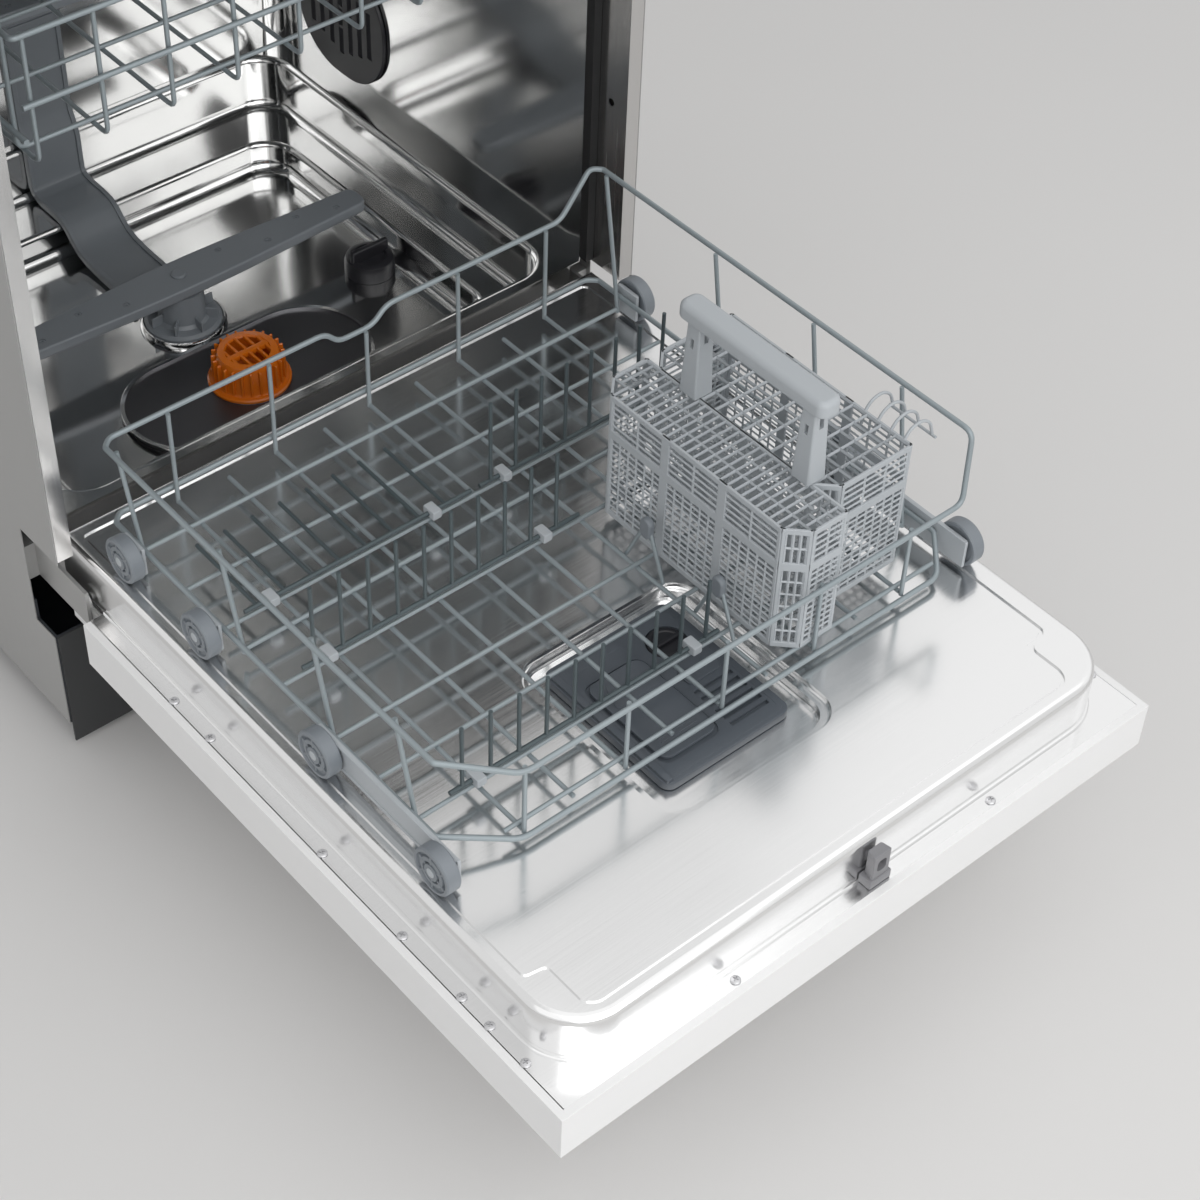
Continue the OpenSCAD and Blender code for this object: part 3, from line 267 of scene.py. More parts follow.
BLACK = Finish("black_plastic", srgb(30, 31, 34), 0.38, 0.0, Grain.MOULDED, 0.3, 0.2, slot="black_plastic")
MESH = Finish("filter_mesh", srgb(150, 150, 150), 0.3, 0.8, Grain.MESH, 0.9, 0.5, slot="filter_mesh")
DUCT = Finish("duct_grey", srgb(178, 184, 188), 0.34, 0.0, Grain.MOULDED, 0.25, 0.08, slot="duct_grey")
ORANGE = Finish("orange_plastic", srgb(228, 112, 14), 0.34, 0.0, Grain.MOULDED, 0.2, 0.1, 0.2, slot="orange_plastic")
DISPENSER = Finish("dispenser_grey", srgb(84, 90, 97), 0.36, 0.0, Grain.MOULDED, 0.25, 0.1, slot="dispenser_plastic")
BUTTON = Finish("button_grey", srgb(120, 121, 123), 0.4, 0.0, Grain.MOULDED, 0.25, 0.08, slot="button_grey")
BOARD_GREEN = Finish("circuit_green", srgb(30, 92, 58), 0.4, 0.0, Grain.PEEL, 0.3, 0.2, slot="board_green")
WIRE = Finish("coated_wire", srgb(178, 182, 186), 0.34, 0.0, Grain.PEEL, 0.3, 0.06, 0.15, slot="coated_wire")
RACK = Finish("rack_grey", srgb(176, 181, 185), 0.42, 0.0, Grain.MOULDED, 0.3, 0.06, slot="rack_plastic")
WHEEL = Finish("wheel_grey", srgb(124, 130, 136), 0.42, 0.0, Grain.MOULDED, 0.3, 0.08, slot="wheel_plastic")
TINE = Finish("tine_coat", srgb(82, 90, 97), 0.36, 0.0, Grain.PEEL, 0.3, 0.08, 0.1, slot="tine_coat")


# Modelling


class Bench:
    """Hand work in Blender: starts a primitive, shapes it in edit mode and finishes it."""

    @staticmethod
    def clear() -> None:
        """Goes to object mode with nothing selected."""
        active = bpy.context.view_layer.objects.active
        if active and active.mode != "OBJECT":
            bpy.ops.object.mode_set(mode="OBJECT")
        bpy.ops.object.select_all(action="DESELECT")

    @staticmethod
    def take(piece: Piece) -> None:
        """Selects one piece alone and makes it active.

        Args:
            piece: The piece.
        """
        Bench.clear()
        piece.select_set(True)
        bpy.context.view_layer.objects.active = piece

    @staticmethod
    def edit(piece: Piece) -> None:
        """Goes to edit mode with the whole of a piece selected.

        Args:
            piece: The piece.
        """
        Bench.take(piece)
        bpy.ops.object.mode_set(mode="EDIT")
        bpy.ops.mesh.select_all(action="SELECT")

    @staticmethod
    def settle(piece: Piece) -> Piece:
        """Puts a piece's place and scale into its mesh.

        Args:
            piece: The piece.

        Returns:
            The piece.
        """
        Bench.take(piece)
        bpy.ops.object.transform_apply(location=True, rotation=True, scale=True)
        return piece

    @staticmethod
    def modify(piece: Piece, kind: str, **settings: object) -> Piece:
        """Adds a modifier and applies it.

        Args:
            piece: The piece.
            kind: The modifier's type.
            settings: Its attributes.

        Returns:
            The piece.
        """
        Bench.take(piece)
        modifier = piece.modifiers.new(kind.lower(), kind)
        for key, value in settings.items():
            setattr(modifier, key, value)
        bpy.ops.object.modifier_apply(modifier=modifier.name)
        return piece

    @staticmethod
    def soften(piece: Piece, width: float, segments: int = 2, angle: float = 35) -> Piece:
        """Rounds every sharp edge of a piece.

        Args:
            piece: The piece.
            width: The rounding's width.
            segments: Facets of each rounding.
            angle: Smallest angle in degrees of an edge that is rounded.

        Returns:
            The piece.
        """
        return Bench.modify(
            piece, "BEVEL", width=width * MM, segments=segments, limit_method="ANGLE", angle_limit=math.radians(angle)
        )

    @staticmethod
    def pick(piece: Piece, mode: str, wanted: Callable) -> None:
        """Goes to edit mode with the wanted elements selected.

        Args:
            piece: The piece.
            mode: VERT, EDGE or FACE.
            wanted: Says of a vertex, edge or face of the mesh whether it is wanted.
        """
        Bench.take(piece)
        bpy.ops.object.mode_set(mode="EDIT")
        bpy.ops.mesh.select_mode(type=mode)
        bpy.ops.mesh.select_all(action="DESELECT")
        bpy.ops.object.mode_set(mode="OBJECT")
        mesh = piece.data
        for element in {"VERT": mesh.vertices, "EDGE": mesh.edges, "FACE": mesh.polygons}[mode]:
            element.select = bool(wanted(element))
        bpy.ops.object.mode_set(mode="EDIT")

    @staticmethod
    def round_edges(piece: Piece, width: float, segments: int, at: Callable[[Vector, Vector], bool]) -> None:
        """Rounds the edges that a test picks out.

        Args:
            piece: The piece.
            width: The rounding's width.
            segments: Facets of each rounding.
            at: Says of an edge's two ends, in millimetres, whether it is rounded.
        """
        points = [v.co / MM for v in piece.data.vertices]
        Bench.pick(piece, "EDGE", lambda e: at(points[e.vertices[0]], points[e.vertices[1]]))
        bpy.ops.mesh.bevel(offset=width * MM, segments=segments, affect="EDGES", clamp_overlap=True)
        bpy.ops.object.mode_set(mode="OBJECT")

    @staticmethod
    def over(level: float) -> Callable[[Vector, Vector], bool]:
        """A test for round_edges: the edge lies above a level."""
        return lambda a, b: a.z > level and b.z > level

    @staticmethod
    def under(level: float) -> Callable[[Vector, Vector], bool]:
        """A test for round_edges: the edge lies below a level."""
        return lambda a, b: a.z < level and b.z < level

    @staticmethod
    def block(low: Point, high: Point, edge: float = 0.8, segments: int = 2) -> Piece:
        """A block between two corners with rounded edges.

        Args:
            low: Lowest corner.
            high: Highest corner.
            edge: Radius of the edges.
            segments: Facets of each rounded edge.

        Returns:
            The block.
        """
        Bench.clear()
        bpy.ops.mesh.primitive_cube_add(size=1, location=[(a + b) / 2 * MM for a, b in zip(low, high)])
        piece = bpy.context.object
        piece.scale = [(b - a) * MM for a, b in zip(low, high)]
        Bench.settle(piece)
        if edge:
            Bench.edit(piece)
            bpy.ops.mesh.bevel(offset=edge * MM, segments=segments, affect="EDGES")
            bpy.ops.object.mode_set(mode="OBJECT")
        return piece

    @staticmethod
    def spot(x: float, y: float, z: float) -> Piece:
        """Starts a piece as a single point, in edit mode.

        Args:
            x: Place in millimetres.
            y: Place in millimetres.
            z: Place in millimetres.

        Returns:
            The piece.
        """
        Bench.clear()
        bpy.ops.mesh.primitive_plane_add(size=0.001)
        bpy.ops.object.mode_set(mode="EDIT")
        bpy.ops.mesh.select_mode(type="VERT")
        bpy.ops.mesh.select_all(action="SELECT")
        bpy.ops.mesh.merge(type="CENTER")
        bpy.ops.transform.translate(value=(x * MM, y * MM, z * MM))
        return bpy.context.object

    @staticmethod
    def outline(points: Sequence[Flat], z: float, corner: float = 0, steps: int = 4) -> Piece:
        """A flat face along an outline, its corners rounded.

        Args:
            points: The outline's corners in millimetres.
            z: The face's height.
            corner: Radius of the corners.
            steps: Facets of each corner.

        Returns:
            The face.
        """
        piece = Bench.spot(*points[0], z)
        for before, after in zip(points, points[1:]):
            step = ((after[0] - before[0]) * MM, (after[1] - before[1]) * MM, 0)
            bpy.ops.mesh.extrude_region_move(TRANSFORM_OT_translate={"value": step})
        bpy.ops.mesh.select_all(action="SELECT")
        bpy.ops.mesh.edge_face_add()
        if corner:
            bpy.ops.mesh.bevel(offset=corner * MM, segments=steps, affect="VERTICES")
        bpy.ops.object.mode_set(mode="OBJECT")
        return piece

    @staticmethod
    def raise_face(piece: Piece, height: float) -> Piece:
        """Extrudes a flat face upwards into a closed plate.

        Args:
            piece: The face.
            height: The plate's height.

        Returns:
            The plate.
        """
        Bench.edit(piece)
        bpy.ops.mesh.extrude_region_move(TRANSFORM_OT_translate={"value": (0, 0, height * MM)})
        bpy.ops.mesh.select_all(action="SELECT")
        bpy.ops.mesh.normals_make_consistent(inside=False)
        bpy.ops.object.mode_set(mode="OBJECT")
        return piece

    @staticmethod
    def prism(points: Sequence[Flat], low: float, height: float, corner: float = 0, steps: int = 4) -> Piece:
        """A closed plate along an outline, which starts at a height and has round corners."""
        return Bench.raise_face(Bench.outline(points, low, corner, steps), height)

    @staticmethod
    def plate(
        centre: Flat, size: Flat, corner: float, low: float, high: float,
        steps: int = 8, edge: float = 0, only: Callable[[float, float], bool] | None = None,
    ) -> Piece:
        """A rectangular plate with round corners.

        Args:
            centre: Its middle.
            size: Its width and length.
            corner: Radius of the corners.
            low: Its underside.
            high: Its top.
            steps: Facets of each corner.
            edge: Radius of its edges.
            only: Says of a corner, by its side signs, whether it is rounded.

        Returns:
            The plate.
        """
        x, y = size[0] / 2, size[1] / 2
        signs = [(-1, -1), (1, -1), (1, 1), (-1, 1)]
        face = Bench.outline([(centre[0] + a * x, centre[1] + b * y) for a, b in signs], low)
        Bench.pick(face, "VERT", lambda v: only is None or only(v.co.x / MM - centre[0], v.co.y / MM - centre[1]))
        bpy.ops.mesh.bevel(offset=min(corner, x * 0.999, y * 0.999) * MM, segments=steps, affect="VERTICES")
        piece = Bench.raise_face(face, high - low)
        return Bench.soften(piece, edge) if edge else piece

    @staticmethod
    def turned(profile: Sequence[Flat], centre: Point = (0, 0, 0), axis: str = "Z", steps: int = 40) -> Piece:
        """A turned piece: a profile spun round an axis.

        Args:
            profile: Radius and height of each point, from one end to the other.
            centre: The axis's foot.
            axis: X, Y or Z.
            steps: Facets round the axis.

        Returns:
            The piece.
        """
        piece = Bench.spot(profile[0][0], 0, profile[0][1])
        for before, after in zip(profile, profile[1:]):
            step = ((after[0] - before[0]) * MM, 0, (after[1] - before[1]) * MM)
            bpy.ops.mesh.extrude_region_move(TRANSFORM_OT_translate={"value": step})
        bpy.ops.mesh.select_all(action="SELECT")
        bpy.ops.mesh.spin(steps=steps, angle=2 * math.pi, center=(0, 0, 0), axis=(0, 0, 1))
        bpy.ops.mesh.select_all(action="SELECT")
        bpy.ops.mesh.remove_doubles(threshold=0.000002)
        bpy.ops.mesh.normals_make_consistent(inside=False)
        bpy.ops.object.mode_set(mode="OBJECT")
        turn = {"X": Matrix.Rotation(math.pi / 2, 4, "Y"), "Y": Matrix.Rotation(-math.pi / 2, 4, "X")}
        piece.data.transform(Bench.shift(*centre) @ turn.get(axis, Matrix.Identity(4)))
        return piece

    @staticmethod
    def drum(radius: float, low: float, high: float, centre: Point, axis: str = "Z", steps: int = 40) -> Piece:
        """A plain round piece or cutter between two distances from the foot of its axis."""
        return Bench.turned([(0, low), (radius, low), (radius, high), (0, high)], centre, axis, steps)

    @staticmethod
    def screw_head(profile: Sequence[Flat], foot: float, cross: Flat, floor: float) -> Piece:
        """A screw's head with a cross recess, on the Z axis.

        Args:
            profile: Radius and height of each point, from the foot.
            foot: The height that it sits at.
            cross: Half the length and half the width of the recess's arms.
            floor: The recess's floor above the foot.

        Returns:
            The head.
        """
        head = Bench.turned(profile, (0, 0, foot), steps=20)
        low = foot + floor
        return Bench.cut(head, *[Bench.block((-x, -y, low), (x, y, low + 3), 0) for x, y in (cross, cross[::-1])])

    @staticmethod
    def wires(paths: Iterable[Sequence[Point]], diameter: float, bend: float = 5) -> Piece:
        """Round wires along paths, bent with a radius at each corner.

        Args:
            paths: The corners of each wire.
            diameter: The wires' diameter.
            bend: Distance from a corner at which its bend starts.

        Returns:
            All the wires as one piece.
        """
        Bench.clear()
        bpy.ops.curve.primitive_nurbs_path_add()
        piece = bpy.context.object
        curve = piece.data
        curve.splines.clear()
        curve.bevel_depth, curve.bevel_resolution, curve.use_fill_caps = diameter / 2 * MM, 4, True
        for path in paths:
            places = Bench.bent([Vector(p) for p in path], bend)
            spline = curve.splines.new("POLY")
            spline.points.add(len(places) - 1)
            for point, place in zip(spline.points, places):
                point.co = (*(place * MM), 1)
        Bench.settle(piece)
        bpy.ops.object.convert(target="MESH")
        return bpy.context.object

    @staticmethod
    def bent(path: list[Vector], bend: float) -> list[Vector]:
        """Replaces each inner corner of a path by a short curve.

        Args:
            path: The corners.
            bend: Distance from a corner at which its curve starts.

        Returns:
            The places along the bent path.
        """
        places = [path[0]]
        for before, corner, after in zip(path, path[1:], path[2:]):
            reach = min(bend, (corner - before).length * 0.45, (after - corner).length * 0.45)
            a = corner + (before - corner).normalized() * reach
            b = corner + (after - corner).normalized() * reach
            for t in (0, 0.25, 0.5, 0.75, 1):
                places.append(a.lerp(corner, t).lerp(corner.lerp(b, t), t))
        return places + [path[-1]]

    @staticmethod
    def lattice(origin: Point, along: Point, up: Point, cells: tuple[int, int], bar: float, depth: float) -> Piece:
        """A moulded lattice of small windows on a rectangle.

        Args:
            origin: A corner of the rectangle.
            along: Its first side.
            up: Its second side.
            cells: Windows along and up.
            bar: Width of the bars.
            depth: Depth of the bars through the wall.

        Returns:
            The lattice.
        """
        Bench.clear()
        bpy.ops.mesh.primitive_grid_add(x_subdivisions=cells[0], y_subdivisions=cells[1], size=1)
        piece = bpy.context.object
        a, b = Vector(along) * MM, Vector(up) * MM
        normal = a.cross(b).normalized()
        place = Matrix((a, b, normal)).transposed().to_4x4()
        piece.data.transform(Matrix.Translation(Vector(origin) * MM + (a + b) / 2) @ place)
        Bench.modify(piece, "WIREFRAME", thickness=bar * MM, use_even_offset=True, use_boundary=True)
        centre = Matrix.Translation(Vector(origin) * MM)
        piece.data.transform(centre @ Matrix.Scale(depth / bar, 4, normal) @ centre.inverted())
        return piece

    @staticmethod
    def cut(piece: Piece, *cutters: Piece) -> Piece:
        """Cuts pieces out of a piece.

        Args:
            piece: The piece.
            cutters: What is cut out of it, and deleted.

        Returns:
            The piece.
        """
        for cutter in cutters:
            Bench.modify(piece, "BOOLEAN", operation="DIFFERENCE", object=cutter, solver="EXACT")
            bpy.data.objects.remove(cutter)
        return piece

    @staticmethod
    def join(*pieces: Piece) -> Piece:
        """Joins pieces.

        Args:
            pieces: The pieces.

        Returns:
            The first, which holds them all.
        """
        Bench.take(pieces[0])
        for piece in pieces[1:]:
            piece.select_set(True)
        if len(pieces) > 1:
            bpy.ops.object.join()
        return pieces[0]

    @staticmethod
    def copy(piece: Piece, change: Matrix) -> Piece:
        """A copy of a piece with its own mesh.

        Args:
            piece: The piece.
            change: What moves, turns or mirrors the copy, in metres.

        Returns:
            The copy.
        """
        made = piece.copy()
        made.data = piece.data.copy()
        bpy.context.scene.collection.objects.link(made)
        made.data.transform(change)
        if change.determinant() < 0:
            made.data.flip_normals()
        return made

    @staticmethod
    def copies(piece: Piece, changes: Iterable[Matrix]) -> list[Piece]:
        """A copy of a piece for each matrix, in place of the piece itself.

        Args:
            piece: The piece, which is deleted.
            changes: Where each copy goes, in metres.

        Returns:
            The copies.
        """
        made = [Bench.copy(piece, change) for change in changes]
        bpy.data.objects.remove(piece)
        return made

    @staticmethod
    def around(bar: Piece, count: int, centre: Point, axis: str = "Z", start: float = 0) -> list[Piece]:
        """Equal copies, round an axis through a point, of a bar that is drawn beside the origin."""
        turns = [Matrix.Rotation(start + i * 2 * math.pi / count, 4, axis) for i in range(count)]
        return Bench.copies(bar, [Bench.shift(*centre) @ turn for turn in turns])

    @staticmethod
    def shift(x: float = 0, y: float = 0, z: float = 0) -> Matrix:
        """A move in millimetres."""
        return Matrix.Translation((x * MM, y * MM, z * MM))

    @staticmethod
    def mirrored(piece: Piece) -> Piece:
        """A copy of a piece on the other side of the middle plane."""
        return Bench.copy(piece, Matrix.Scale(-1, 4, (1, 0, 0)))

    @staticmethod
    def done(
        piece: Piece, name: str, body: str, finish: Finish, replaces: Sequence[str] = (), smooth: float = 32
    ) -> Piece:
        """Names, dresses and seats a finished piece.

        Args:
            piece: The piece.
            name: Its name.
            body: The body that it moves with.
            finish: Its finish.
            replaces: The nodes that it stands for.
            smooth: Largest angle that is shaded smooth.

        Returns:
            The piece.
        """
        Bench.settle(piece)
        bpy.ops.object.shade_smooth_by_angle(angle=math.radians(smooth))
        Bench.modify(piece, "WEIGHTED_NORMAL", keep_sharp=True, weight=90)
        piece.name = piece.data.name = name
        piece.data.materials.clear()
        piece.data.materials.append(finish.material())
        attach(piece, body)
        if replaces:
            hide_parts(*replaces)
        LOG.info("%s rides on %s with %d faces", name, body, len(piece.data.polygons))
        return piece


# Sub-assemblies


@dataclass
class Door:
    """The open door: lacquered slab, embossed steel liner, screws and latch striker."""

    half: float = 299.0
    near: float = -590.0
    tail: float = 56.0
    underside: float = 150.0
    flange: float = 195.0
    top: float = 240.0
    wall: float = 7.0
    button_x: float = 70.0
    recess_half: float = 100.0
    hinge_x: float = 289.5
    hinge_room: float = 10.5
    liner_half: float = 278.0
    liner_near: float = -569.0
    liner_corner: float = 48.0
    line_width: float = 3.2
    line_depth: float = 1.6
    pocket_x: float = -11.0
    pocket_y: float = -377.0
    pocket: Flat = (172.0, 190.0)
    pocket_floor: float = 226.0
    screw_inset: Flat = (10.5, 11.5)
    side_screws: tuple[float, ...] = (51, 90, 121, 189, 285, 429, 478)
    end_screws: Flat = (-131, 130)
    striker_x: float = 9.0

    def build(self) -> None:
        """Builds every piece of the door."""
        self.slab()
        self.liner()
        self.screws()
        self.striker()

    def slab(self) -> None:
        """The outer panel: a lacquered tray with its control recess and the cuts for the hinges."""
        half, near, wall, low = self.half, self.near, self.wall, self.underside
        tray = Bench.block((-half, near, low), (half, self.tail, self.flange), 0)
        hollow = Bench.block((wall - half, near + wall, low + 16), (half - wall, self.tail - 2, self.flange + 9), 0)
        recess = Bench.block((-self.recess_half, near + 12, low - 5), (self.recess_half, near + 42, low + 2), 0)
        holes = [Bench.drum(6.5, 0, 30, (s * self.button_x, near + 27, low - 6)) for s in SIDES]
        Bench.cut(tray, hollow, recess, *self.hinge_cuts(), *holes)
        Bench.done(Bench.soften(tray, 0.7), "door_slab", "door", BOARD, ["door_panel"])

    def hinge_cuts(self) -> list[Piece]:
        """Cutters for the room that the hinge arms need at both rear corners."""
        spans = [(s * self.hinge_x - self.hinge_room, s * self.hinge_x + self.hinge_room) for s in SIDES]
        return [Bench.block((left, 2, 140), (right, 60, 200), 0) for left, right in spans]

    def liner(self) -> None:
        """The inner liner: a deep rounded pan with an embossed line, a stepped pocket and a flange."""
        top, seat = self.top, self.flange
        pan = self.outer(0, seat - SHEET, top)
        groove = Bench.prism(self.emboss_line(0), top - self.line_depth, 12, 7)
        Bench.cut(groove, Bench.prism(self.emboss_line(self.line_width), top - 9, 30, 4))
        Bench.cut(pan, groove)
        rim = Bench.plate((self.pocket_x, self.pocket_y), self.pocket, 24, top - 5, top + 9)
        Bench.round_edges(rim, 3, 3, Bench.under(top))
        size = (self.pocket[0] - 14, self.pocket[1] - 8)
        well = Bench.plate((self.pocket_x, self.pocket_y + 3), size, 20, self.pocket_floor, top + 9)
        Bench.round_edges(well, 4, 3, Bench.under(top))
        Bench.cut(pan, rim, well)
        Bench.round_edges(pan, 7, 5, lambda a, b: min(a.z, b.z) > top - 0.1 and self.on_rim(a) and self.on_rim(b))
        flange = Bench.plate(
            (0, (self.near + self.tail + 3) / 2), (2 * self.half - 15, self.tail - self.near - 10), 1,
            seat - SHEET, seat, 2,
        )
        Bench.cut(flange, *self.hinge_cuts())
        fillet = self.outer(2.5, seat - 0.4, seat + 2.4)
        Bench.round_edges(fillet, 2.3, 3, Bench.over(seat + 1))
        Bench.cut(fillet, Bench.block((-300, 2, 190), (300, 80, 200), 0))
        Bench.done(Bench.join(pan, flange, fillet), "door_liner_sheet", "door", STEEL, ["door_liner"], 28)

    def outer(self, spread: float, low: float, high: float) -> Piece:
        """A plate along the liner's outer outline, whose near corners are round.

        Args:
            spread: How far outside the liner it reaches.
            low: Its underside.
            high: Its top.

        Returns:
            The plate.
        """
        length = self.tail + 4 - self.liner_near
        return Bench.plate(
            (0, self.liner_near + length / 2), (2 * (self.liner_half + spread), length + 2 * spread),
            self.liner_corner + spread, low, high, 14, only=lambda x, y: y < 0,
        )

    def on_rim(self, place: Vector) -> bool:
        """Whether a point lies on the liner's outer outline.

        Args:
            place: The point.

        Returns:
            Whether it lies there, to half a millimetre.
        """
        inner = (abs(place.x) < self.liner_half - 0.3, place.y > self.liner_near + 0.3, place.y < self.tail + 3.7)
        if not all(inner):
            return True
        centre = Vector((self.liner_half - self.liner_corner, self.liner_near + self.liner_corner))
        reach = Vector((abs(place.x), place.y)) - centre
        return reach.x > -0.5 and reach.y < 0.5 and reach.length > self.liner_corner - 0.6

    @staticmethod
    def emboss_line(d: float) -> list[Flat]:
        """One side of the pressed line, with its stepped near corners.

        Args:
            d: How far inside the line's outer side it runs.

        Returns:
            The outline's corners.
        """
        return [
            (d - 268, 46 - d), (d - 268, d - 510), (d - 250, d - 513), (d - 250, -548), (d / 2 - 240, d - 558),
            (226 - d / 2, d - 558), (236 - d, -548), (236 - d, d - 513), (258 - d, d - 510), (258 - d, 46 - d),
        ]

    def screws(self) -> None:
        """Flange screws with domed heads and a cross recess, down both sides and along the near edge."""
        profile = [(0, -9), (2, -9), (2, 0), (4, 0), (4, 0.7), (3.4, 1.5), (2.2, 1.9), (0, 2)]
        head = Bench.screw_head(profile, self.flange + 0.3, (2.2, 0.45), 0.8)
        side, end = self.half - self.screw_inset[0], self.near + self.screw_inset[1]
        places = [(s * side, self.near + y) for s in SIDES for y in self.side_screws]
        places += [(x, end) for x in self.end_screws]
        turns = [Bench.shift(x, y) @ Matrix.Rotation(0.7 * i, 4, "Z") for i, (x, y) in enumerate(places)]
        Bench.done(Bench.join(*Bench.copies(head, turns)), "flange_screws", "door", SCREW, ["door_screws"])

    def striker(self) -> None:
        """The latch striker: a moulded foot with a chamfered eye."""
        x, y, z = self.striker_x, self.near, self.flange
        foot = Bench.block((x - 11, y + 8.3, z + 0.3), (x + 11, y + 20.6, z + 9), 1.2)
        wedge = Bench.prism([(x - 9, y + 9.5), (x + 9, y + 9.5), (x + 7, y + 19), (x - 7, y + 19)], z + 8, 25.5, 1.5)
        Bench.round_edges(wedge, 4, 4, Bench.over(z + 30))
        Bench.cut(wedge, Bench.block((x - 4.5, y, z + 15), (x + 4.5, y + 30, z + 27), 3, 3))
        Bench.done(Bench.join(foot, Bench.soften(wedge, 0.5)), "striker_eye", "door", BUTTON, ["latch_striker"])


@dataclass
class Dispenser:
    """The detergent dispenser in the door's pocket: housing, sliding lid and rinse-aid cap."""

    x: float = -11.0
    y: float = -367.0
    z: float = 226.3
    bowl: Flat = (-33.0, -375.0)
    tank: Flat = (23.0, -367.0)
    cap: Flat = (23.0, -329.0)

    def build(self) -> None:
        """Builds the three pieces."""
        self.housing()
        self.lid()
        self.rinse_cap()

    def housing(self) -> None:
        """The frame with its slots, rim and trim, over the bowl and the rinse-aid tank."""
        x, y, z = self.x, self.y, self.z
        face = Bench.plate((x, y), (126, 146), 9, z, z + 8, 6, 1.4)
        bowl = Bench.plate(self.bowl, (46, 84), 9, z + 1, z + 12, 6)
        seat = Bench.plate(self.bowl, (58, 98), 10, z + 6.8, z + 12, 6)
        slots = [Bench.block((x + 15, y - 58 + i * 8, z + 5), (x + 53, y - 54 + i * 8, z + 12), 0) for i in range(6)]
        Bench.cut(face, bowl, seat, Bench.drum(17.3, 4, 14, (*self.cap, z)), *slots)
        rim = Bench.plate((x, y), (118, 138), 7, z + 7.2, z + 8.2, 5, 0.2)
        Bench.cut(rim, Bench.plate((x, y), (112, 132), 6, z + 6, z + 20, 5))
        trim = [
            Bench.plate((x + 34, y - 2), (34, 12), 4, z + 7.5, z + 9.8, 4, 0.8),
            Bench.turned([(0, 7), (4, 7), (4, 9.2), (2.5, 10), (0, 10)], (x + 22, y + 6, z), steps=20),
            Bench.turned([(0, 7), (2.6, 7), (2.6, 9.2), (0, 9.6)], (x + 44, y + 6, z), steps=20),
            Bench.block((x - 61, y - 70, z + 7), (x - 55, y + 70, z + 10.5), 1),
            Bench.block((x - 48, y + 56, z + 7), (x + 4, y + 66, z + 8.2), 0.5),
        ]
        well = Bench.plate(self.bowl, (52, 90), 10, 186, z + 1.2, 4)
        Bench.cut(well, Bench.plate(self.bowl, (46, 84), 9, 189, z + 20, 6))
        tank = Bench.plate(self.tank, (40, 112), 8, 183, z + 1.2, 4)
        piece = Bench.join(face, rim, *trim, well, tank)
        Bench.done(piece, "dispenser_housing", "door", DISPENSER, ["dispenser_body"])

    def lid(self) -> None:
        """The sliding lid with its grip lines and a raised field."""
        x, y, z = self.x, self.y, self.z
        lid = Bench.plate(self.bowl, (54, 92), 9, z + 8.3, z + 11.2, 6, 0.8)
        line = Bench.block((x - 40, y - 44, z + 10.8), (x - 4, y - 42.4, z + 11.8), 0.5)
        lines = Bench.copies(line, [Bench.shift(0, i * 4) for i in range(4)])
        field = Bench.prism([(x - 44, y + 6), (x, y + 6), (x - 8, y + 30), (x - 36, y + 30)], z + 10.8, 1, 3)
        piece = Bench.join(lid, *lines, Bench.soften(field, 0.4))
        Bench.done(piece, "detergent_cover", "detergent_lid", DISPENSER, ["detergent_lid"])

    def rinse_cap(self) -> None:
        """The rinse-aid cap with its grip."""
        (x, y), z = self.cap, self.z
        cap = Bench.turned(
            [(0, 4.3), (16.5, 4.3), (16.5, 6.8), (15.6, 8), (12.5, 8.3), (11.5, 7.2), (0, 7)], (x, y, z), steps=32
        )
        grip = Bench.block((x - 12.5, y - 2, z + 6.8), (x + 12.5, y + 2, z + 10.8), 1)
        Bench.done(Bench.join(cap, grip), "rinse_aid_cap", "rinse_cap", BLACK, ["rinse_cap"])


